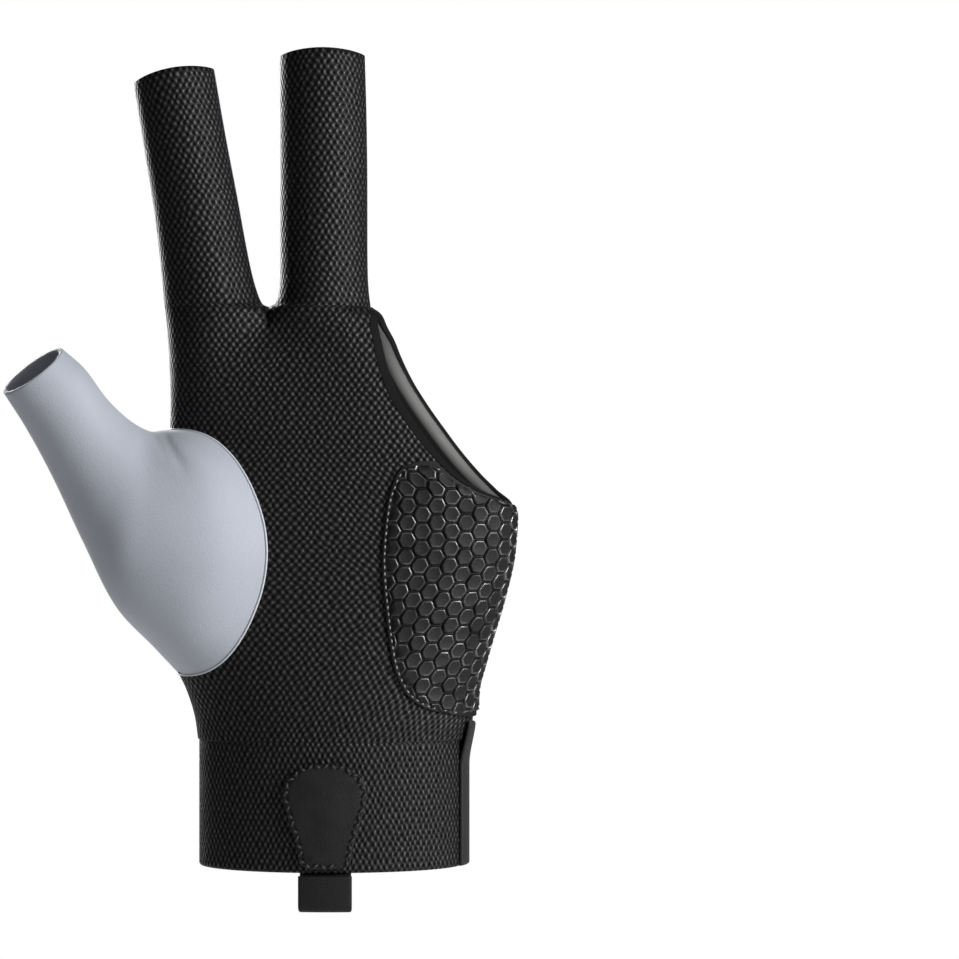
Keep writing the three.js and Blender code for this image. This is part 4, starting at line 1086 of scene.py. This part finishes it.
# Rings of a tile from its foot to its top: radius, height, and how much the rim is polished and
# carries its painted highlight.
rings = [(tile_radius - 0.02, -0.12, 0.0), (tile_radius - TILE_GROOVE / 2, 0.08, 0.5),
         (tile_radius - TILE_GROOVE / 2 - 0.12, TILE_RISE - 0.18, 1.0),
         (tile_radius - TILE_GROOVE / 2 - 0.36, TILE_RISE, 0.8),
         (tile_radius - TILE_GROOVE / 2 - 0.62, TILE_RISE - 0.05, 0.0)]
ring_radius, ring_rise, ring_polish_and_glint = zip(*rings)
tile_plan = np.concatenate([hex_ring(radius, TILE_CORNER) for radius in ring_radius]
                           + [np.zeros((1, 2))])
tile_rise = np.append(np.repeat(ring_rise, 12), TILE_RISE - TILE_DISH)
tile_polish_and_glint = np.append(np.repeat(ring_polish_and_glint, 12), 0.0)
column, row = np.meshgrid(np.arange(TILE_COLUMNS), np.arange(TILE_ROWS))
centre = np.stack([column.ravel() * TILE_PITCH * math.sqrt(0.75) + tile_radius,
                   (row + (column % 2) / 2).ravel() * TILE_PITCH
                   + CUFF_HEIGHT + PAD_TABLE["level"][0] * HAND_HEIGHT], 1)
spots = centre[:, None] + tile_plan
tile_u, tile_v = spots[..., 0], spots[..., 1]


def held_in(value, low, high):
    """Draws what lies past a limit back to it, all but a fiftieth."""
    return np.clip(value, low, high) + 0.02 * (value - np.clip(value, low, high))


inset = np.minimum(np.interp(tile_v, pad_v, far_u) - tile_u,
                   tile_u - np.interp(tile_v, pad_v, near_u))
inset = np.minimum(inset, np.minimum(tile_v - pad_rows.z[0], pad_rows.z[-1] - tile_v))
kept = inset.max(axis=1) > PAD_MARGIN + 0.6
tile_v = held_in(tile_v, pad_rows.z[0] + PAD_MARGIN, pad_rows.z[-1] - PAD_MARGIN)
tile_u = held_in(tile_u, np.interp(tile_v, pad_v, near_u) + PAD_MARGIN,
                 np.interp(tile_v, pad_v, far_u) - PAD_MARGIN)
full = smooth_step(PAD_MARGIN - 0.1, PAD_MARGIN + 0.45, inset)
tile_height = PAD_GAP + PAD_BASE - TILE_FOOT + full * (tile_rise + TILE_FOOT)
tiles = pad_skin.at(tile_u, tile_v, tile_height)[kept]
ids = np.arange(tiles[..., 0].size).reshape(tiles.shape[:2])
loop = ids[:, :-1].reshape(-1, len(rings), 12)
wrapped = np.concatenate([loop, loop[:, :, :1]], axis=2)
sides = np.stack([wrapped[:, :-1, :-1], wrapped[:, :-1, 1:], wrapped[:, 1:, 1:],
                  wrapped[:, 1:, :-1]], axis=3).reshape(-1, 4)
top = np.stack([wrapped[:, -1, :-1], wrapped[:, -1, 1:], np.repeat(ids[:, -1:], 12, 1)],
               axis=2).reshape(-1, 3)
foot = loop[:, 0, ::-1]
polish_and_glint = np.tile(tile_polish_and_glint, len(tiles))
carpet = mesh_piece("pad_tiles", tiles.reshape(-1, 3), [sides, top, foot],
                    np.stack([polish_and_glint, polish_and_glint], 1))
dress(carpet, "grip_pad", silicone)

# Pad thread: polyester with a bright twist, which glints round the black pad.
pad_thread, tree = new_material("bright_polyester_thread")
surface(tree, HEX_PAD_THREAD, 0.4, 0.5)

for name, edge, low, high, turn in (
        ("pad_stitches_left", far_u, pad_rows.z[0] + 0.7, pad_rows.z[-1] - 0.8, 1.0),
        ("pad_stitches_right", near_u, pad_rows.z[0] + 2.0, PAD_STITCHES_TOP, -1.0)):
    edge_v = np.linspace(low, high, 400)
    edge_path = np.stack([np.interp(edge_v, pad_v, edge), edge_v], 1)
    aim = unit(np.gradient(edge_path, axis=0))
    edge_path += PAD_STITCH_INSET * turn * np.stack([-aim[:, 1], aim[:, 0]], 1)
    sewn_path = pad_skin.at(edge_path[:, 0], edge_path[:, 1], PAD_GAP + PAD_BASE - THREAD_SINK)
    sewn_normal = pad_skin.read(pad_skin.normals, edge_path[:, 0], edge_path[:, 1])
    dress(stitches(name, sewn_path, sewn_normal, stitch=0.9, gap=0.75, width=0.42),
          "grip_pad", pad_thread)

# Pull patch: a shield of black synthetic leather sewn over the ribbon's end on the palm side of
# the cuff, overstitched all round with thick black thread.
PATCH_WIDTH = 20.4
PATCH_HEIGHT = 25.8
PATCH_THICKNESS = 1.3
PATCH_ACROSS = -0.8
PATCH_STITCH_INSET = 0.8
PATCH_SEAM_FROM, PATCH_SEAM_TO = 0.04, 0.955
PATCH_THREAD_SINK = 0.12
HEM_INSET = 1.0
SEWN_GAP = 0.06
SEWN_DEPTH = 0.22
HEX_LEATHER = "#0b0b0d"
HEX_LEATHER_WORN = "#131315"
HEX_THREAD = "#1b1b1e"
PATCH_TABLE = {
    "level": [0.00, 0.03, 0.08, 0.18, 0.34, 0.52, 0.70, 0.82, 0.91, 0.965, 1.00],
    "half":  [0.34, 0.52, 0.62, 0.655, 0.76, 0.90, 1.00, 0.93, 0.73, 0.50, 0.26],
}

# Black synthetic leather: coated cloth with fine cells pressed in. It is half matt, and worn
# places are a little paler and duller.
leather, tree = new_material("black_synthetic_leather")
place = in_object(tree)
cells = add(tree, "ShaderNodeTexVoronoi", {"Vector": place, "Scale": 1100.0},
            feature="DISTANCE_TO_EDGE").outputs["Distance"]
wear = noise(tree, place, 220.0, 4.0)["Fac"]
surface(tree, ramp(tree, wear, [(0.35, HEX_LEATHER), (0.7, HEX_LEATHER_WORN)]),
        math_node(tree, "MULTIPLY_ADD", wear, 0.5, 0.33), 0.25,
        relief(tree, cells, 0.15 * MM, 0.6))

# Black thread: thick twisted polyester, half matt, hardly lighter than the leather.
black_thread, tree = new_material("black_polyester_thread")
surface(tree, HEX_THREAD, 0.55, 0.3)


def patch_half(level):
    """Half the shield's width at a share of its height."""
    return read_column(PATCH_TABLE["level"], PATCH_TABLE["half"], level) * PATCH_WIDTH / 2


patch_levels = edged([0.0], [1.0], 50, 0.03)[0]
patch_z = HEM_INSET + patch_levels * PATCH_HEIGHT
patch_rows = cuff_loops(patch_z)
half = patch_half(patch_levels)
patch_start = patch_rows.station_at(-1, PATCH_ACROSS - half)
patch_end = patch_rows.station_at(-1, PATCH_ACROSS + half)
patch_stations = edged(patch_start, patch_end, 50, 0.7)
outer, inner = rolled_offsets(SEWN_GAP + PATCH_THICKNESS, SEWN_GAP, patch_stations, patch_start,
                              patch_end, patch_z, patch_z[0], patch_z[-1])
sewn_in = np.exp(-((np.minimum(patch_stations - patch_start[:, None],
                               patch_end[:, None] - patch_stations)
                    - PATCH_STITCH_INSET - 0.1) / 0.4) ** 2)
dress(laid_sheet("patch", patch_rows, patch_stations, outer - SEWN_DEPTH * sewn_in, inner),
      "pull_patch", leather)

# Its seam: up one side, over the top, which is a little crowned, down the other and home.
side_level = np.linspace(PATCH_SEAM_FROM, PATCH_SEAM_TO, 60)
sides_in = patch_half(side_level) - PATCH_STITCH_INSET
seam_level = np.concatenate([side_level, np.full(11, PATCH_SEAM_TO), side_level[::-1],
                             np.full(11, PATCH_SEAM_FROM)])
share = np.linspace(1, -1, 13)[1:-1]
seam_across = np.concatenate([sides_in, sides_in[-1] * share, -sides_in[::-1],
                              -sides_in[0] * share])
crown = np.concatenate([np.zeros(60), 1.2 * (1 - share ** 2), np.zeros(60),
                        -0.5 * (1 - share ** 2)])
seam_rows = cuff_loops(HEM_INSET + seam_level * PATCH_HEIGHT + crown * 0.5)
seam_line = laid_line(seam_rows, seam_rows.station_at(-1, PATCH_ACROSS + seam_across)[:, None],
                      SEWN_GAP + PATCH_THICKNESS - PATCH_THREAD_SINK)
dress(stitches("patch_stitches", *seam_line, stitch=1.6, gap=0.3, width=1.0, swing=0.4),
      "pull_patch", black_thread)

# Pull ribbon: a loop of ribbed black webbing sewn inside the cuff's hem and under the patch,
# for drawing the glove over the wrist.
RIBBON_WIDTH = 13.2
RIBBON_THICKNESS = 1.0
RIBBON_DROP = 9.1
RIBBON_TUCK = 14.0
RIBBON_FOLD = 2.2
RIB_PITCH = 0.9
WARP_PITCH = 0.6
HEX_WEBBING = "#08080a"
HEX_WEBBING_RIB = "#0e0e10"

# Black ribbed webbing: narrow woven polyester, dull, with fine ribs across it that break up
# what little light it returns.
webbing, tree = new_material("black_ribbed_webbing")
split = add(tree, "ShaderNodeSeparateXYZ", {"Vector": cloth_uv(tree)})
ribs = math_node(tree, "ADD", wave(tree, split.outputs["Y"], RIB_PITCH),
                 wave(tree, split.outputs["X"], WARP_PITCH))
weave = math_node(tree, "MULTIPLY_ADD", ribs, 0.25, 0.5)
surface(tree, ramp(tree, weave, [(0.1, HEX_WEBBING), (0.9, HEX_WEBBING_RIB)]), 0.65, 0.24,
        relief(tree, weave, 0.1 * MM, 0.4))

inside = -CUFF_WALL - 0.1 - RIBBON_THICKNESS / 2
outside = inside + RIBBON_THICKNESS * RIBBON_FOLD
turn = (outside - inside) / 2
bend = np.linspace(np.pi, 0, 14)
trail = np.concatenate([
    np.stack([np.full(24, inside), np.linspace(RIBBON_TUCK, turn - RIBBON_DROP + 0.4, 24)], 1),
    np.stack([inside + turn + turn * np.cos(bend), turn - RIBBON_DROP - turn * np.sin(bend)], 1),
    np.stack([np.full(12, outside), np.linspace(turn - RIBBON_DROP + 0.4, -0.7, 12)], 1)])
aim = unit(np.gradient(trail, axis=0))
push = np.stack([-aim[:, 1], aim[:, 0]], 1)
ribbon_u = edged([-RIBBON_WIDTH / 2], [RIBBON_WIDTH / 2], 16, RIBBON_THICKNESS / 2)[0]
edge_near = np.clip(RIBBON_WIDTH / 2 - np.abs(ribbon_u), 0, RIBBON_THICKNESS / 2)
round_off = np.sqrt((RIBBON_THICKNESS / 2) ** 2 - (RIBBON_THICKNESS / 2 - edge_near) ** 2)
ribbon_sides = []
for sign in (1, -1):
    rows = cuff_loops(trail[:, 1])
    station = rows.station_at(-1, PATCH_ACROSS)[:, None] + ribbon_u[None, :]
    thick = sign * np.maximum(round_off, 0.06)[None, :]
    laid = rows.lay(station, trail[:, :1] + push[:, :1] * thick)
    laid[..., 2] += push[:, 1:] * thick
    ribbon_sides.append(laid)
run = np.append(0, np.cumsum(np.linalg.norm(np.diff(trail, axis=0), axis=1)))
ribbon_uv = np.stack([np.broadcast_to(ribbon_u, (len(run), len(ribbon_u))),
                      np.broadcast_to(run[:, None], (len(run), len(ribbon_u)))], 2)
dress(closed_sheet("ribbon", *ribbon_sides, ribbon_uv), "pull_ribbon", webbing)

# Wrist strap: a tab of black foam-backed fabric with a round end, sewn to the ulnar side and
# closing with hook-and-loop over the back of the cuff. It is stitched round its edge and
# carries a small printed motif of slanted bars.
STRAP_REACH = 27.8
STRAP_HEIGHT = 30.2
STRAP_THICKNESS = 1.8
STRAP_ROUND = 16.4
STRAP_FULLNESS = 0.985
STRAP_STITCH_INSET = 1.9
STRAP_STITCH_SHARE = 0.86
STRAP_THREAD_SINK = 0.2
BADGE_BARS = 3
BADGE_START, BADGE_MIDDLE = 11.2, 15.4
BADGE_PITCH = 3.6
BADGE_BAR = (1.5, 6.0)
BADGE_SLANT = 2.4
BADGE_RISE = 0.06
BINDING_BACK = 9.6
HEX_STRAP = "#0d0d0f"

# Black laminated knit: thin foam faced with brushed knit. It is dull and deep black, with a
# trace of sheen where it turns away.
strap_fabric, tree = new_material("black_laminated_knit")
surface(tree, HEX_STRAP, 0.62, 0.3,
        relief(tree, noise(tree, in_object(tree), 1300.0, 3.0)["Fac"], 0.15 * MM, 0.5),
        (0.05, 0.5))


def strap_bow(share):
    """How far the round end falls back from its tip: a quarter of an ellipse."""
    return STRAP_ROUND * (1 - np.sqrt(1 - np.clip(np.abs(share), 0, 1) ** 2 * STRAP_FULLNESS))


strap_middle = CUFF_HEIGHT / 2
strap_share = np.sin(np.linspace(-np.pi / 2, np.pi / 2, 61))
strap_z = strap_middle + strap_share * STRAP_HEIGHT / 2
strap_rows = cuff_loops(strap_z)
strap_start = strap_rows.half + BINDING_BACK + 0.3
strap_end = strap_rows.half + BINDING_BACK + STRAP_REACH - strap_bow(strap_share)
strap_stations = edged(strap_start, strap_end, 60, 0.9)
edge_gap = STRAP_HEIGHT / 2 * (1 - np.abs(strap_share))[:, None]
rim_near = np.minimum(strap_end[:, None] - strap_stations, edge_gap)
outer, inner = rolled_offsets(SEWN_GAP + STRAP_THICKNESS, SEWN_GAP, strap_stations,
                              strap_start - 1, strap_end, strap_z, strap_z[0], strap_z[-1])
pressed = SEWN_DEPTH * np.exp(-((rim_near - STRAP_STITCH_INSET + 0.1) / 0.5) ** 2)
dress(laid_sheet("strap", strap_rows, strap_stations, outer - pressed, inner), "wrist_strap",
      strap_fabric)

turn_share = np.linspace(-STRAP_STITCH_SHARE, STRAP_STITCH_SHARE, 90)
turn_reach = STRAP_REACH - STRAP_STITCH_INSET - strap_bow(turn_share)
leg = np.linspace(1.2, turn_reach[0], 30)[:-1]
seam_reach = np.concatenate([leg, turn_reach, leg[::-1]])
seam_share = np.concatenate([np.full(len(leg), turn_share[0]), turn_share,
                             np.full(len(leg), turn_share[-1])])
seam_rows = cuff_loops(strap_middle + seam_share * STRAP_HEIGHT / 2)
seam_line = laid_line(seam_rows, (seam_rows.half + BINDING_BACK + seam_reach)[:, None],
                      SEWN_GAP + STRAP_THICKNESS - STRAP_THREAD_SINK)
dress(stitches("strap_stitches", *seam_line, stitch=1.8, gap=0.6, width=0.36),
      "wrist_strap", black_thread)

badge_u = np.arange(6.0, 24.0, 0.5)
badge_v = np.arange(8.0, 24.0, 0.5)
badge_rows = cuff_loops(badge_v)
badge_skin = Skin(badge_rows, badge_rows.half[:, None] + BINDING_BACK + badge_u, badge_u, badge_v)
for k in range(BADGE_BARS):
    across, up = np.meshgrid(np.linspace(-0.5, 0.5, 5), np.linspace(-0.5, 0.5, 9))
    flat_u = BADGE_START + BADGE_PITCH * k + across * BADGE_BAR[0] - up * BADGE_SLANT
    flat_v = BADGE_MIDDLE + up * BADGE_BAR[1]
    print_bar("strap_bar_%d" % (k + 1), badge_skin, flat_u, flat_v, SEWN_GAP + STRAP_THICKNESS,
              BADGE_RISE, "wrist_strap")

# Strap binding: a soft roll of the same black fabric round the ulnar side of the cuff, over the
# strap's sewn end. It is fullest in its middle and flares a little at the top.
BINDING_FRONT = 6.0
BINDING_THICKNESS = 1.0
BINDING_FOOT = 0.2
FLARE_OUT = 2.3
FLARE_UP = 3.4
FLARE_HEIGHT = 7.0
binding_top = CUFF_HEIGHT + 0.9
binding_rise = edged([BINDING_FOOT], [binding_top], 50, 1.2)[0]
binding_rows = cuff_loops(binding_rise)
binding_stations = edged(binding_rows.half - BINDING_FRONT, binding_rows.half + BINDING_BACK,
                         50, 0.8)
share = (binding_stations - binding_rows.half[:, None] + BINDING_FRONT) / (
    BINDING_FRONT + BINDING_BACK)
lift = smooth_step(CUFF_HEIGHT - FLARE_HEIGHT, binding_top, binding_rise)[:, None] * (
    1 - smooth_step(0.1, 0.6, share))
fullness = 0.9 + 0.45 * np.sin(np.pi * np.clip(share, 0, 1)) ** 0.6
outer, inner = rolled_offsets(BINDING_THICKNESS, 0.0, binding_stations, binding_stations[:, 0],
                              binding_stations[:, -1], binding_rise, BINDING_FOOT, binding_top)
walls = [binding_rows.lay(binding_stations, outer * fullness + FLARE_OUT * lift),
         binding_rows.lay(binding_stations, SEWN_GAP + inner * 0.3 + FLARE_OUT * lift)]
for wall in walls:
    wall[..., 2] += FLARE_UP * lift
dress(closed_sheet("binding", *walls), "strap_binding", strap_fabric)
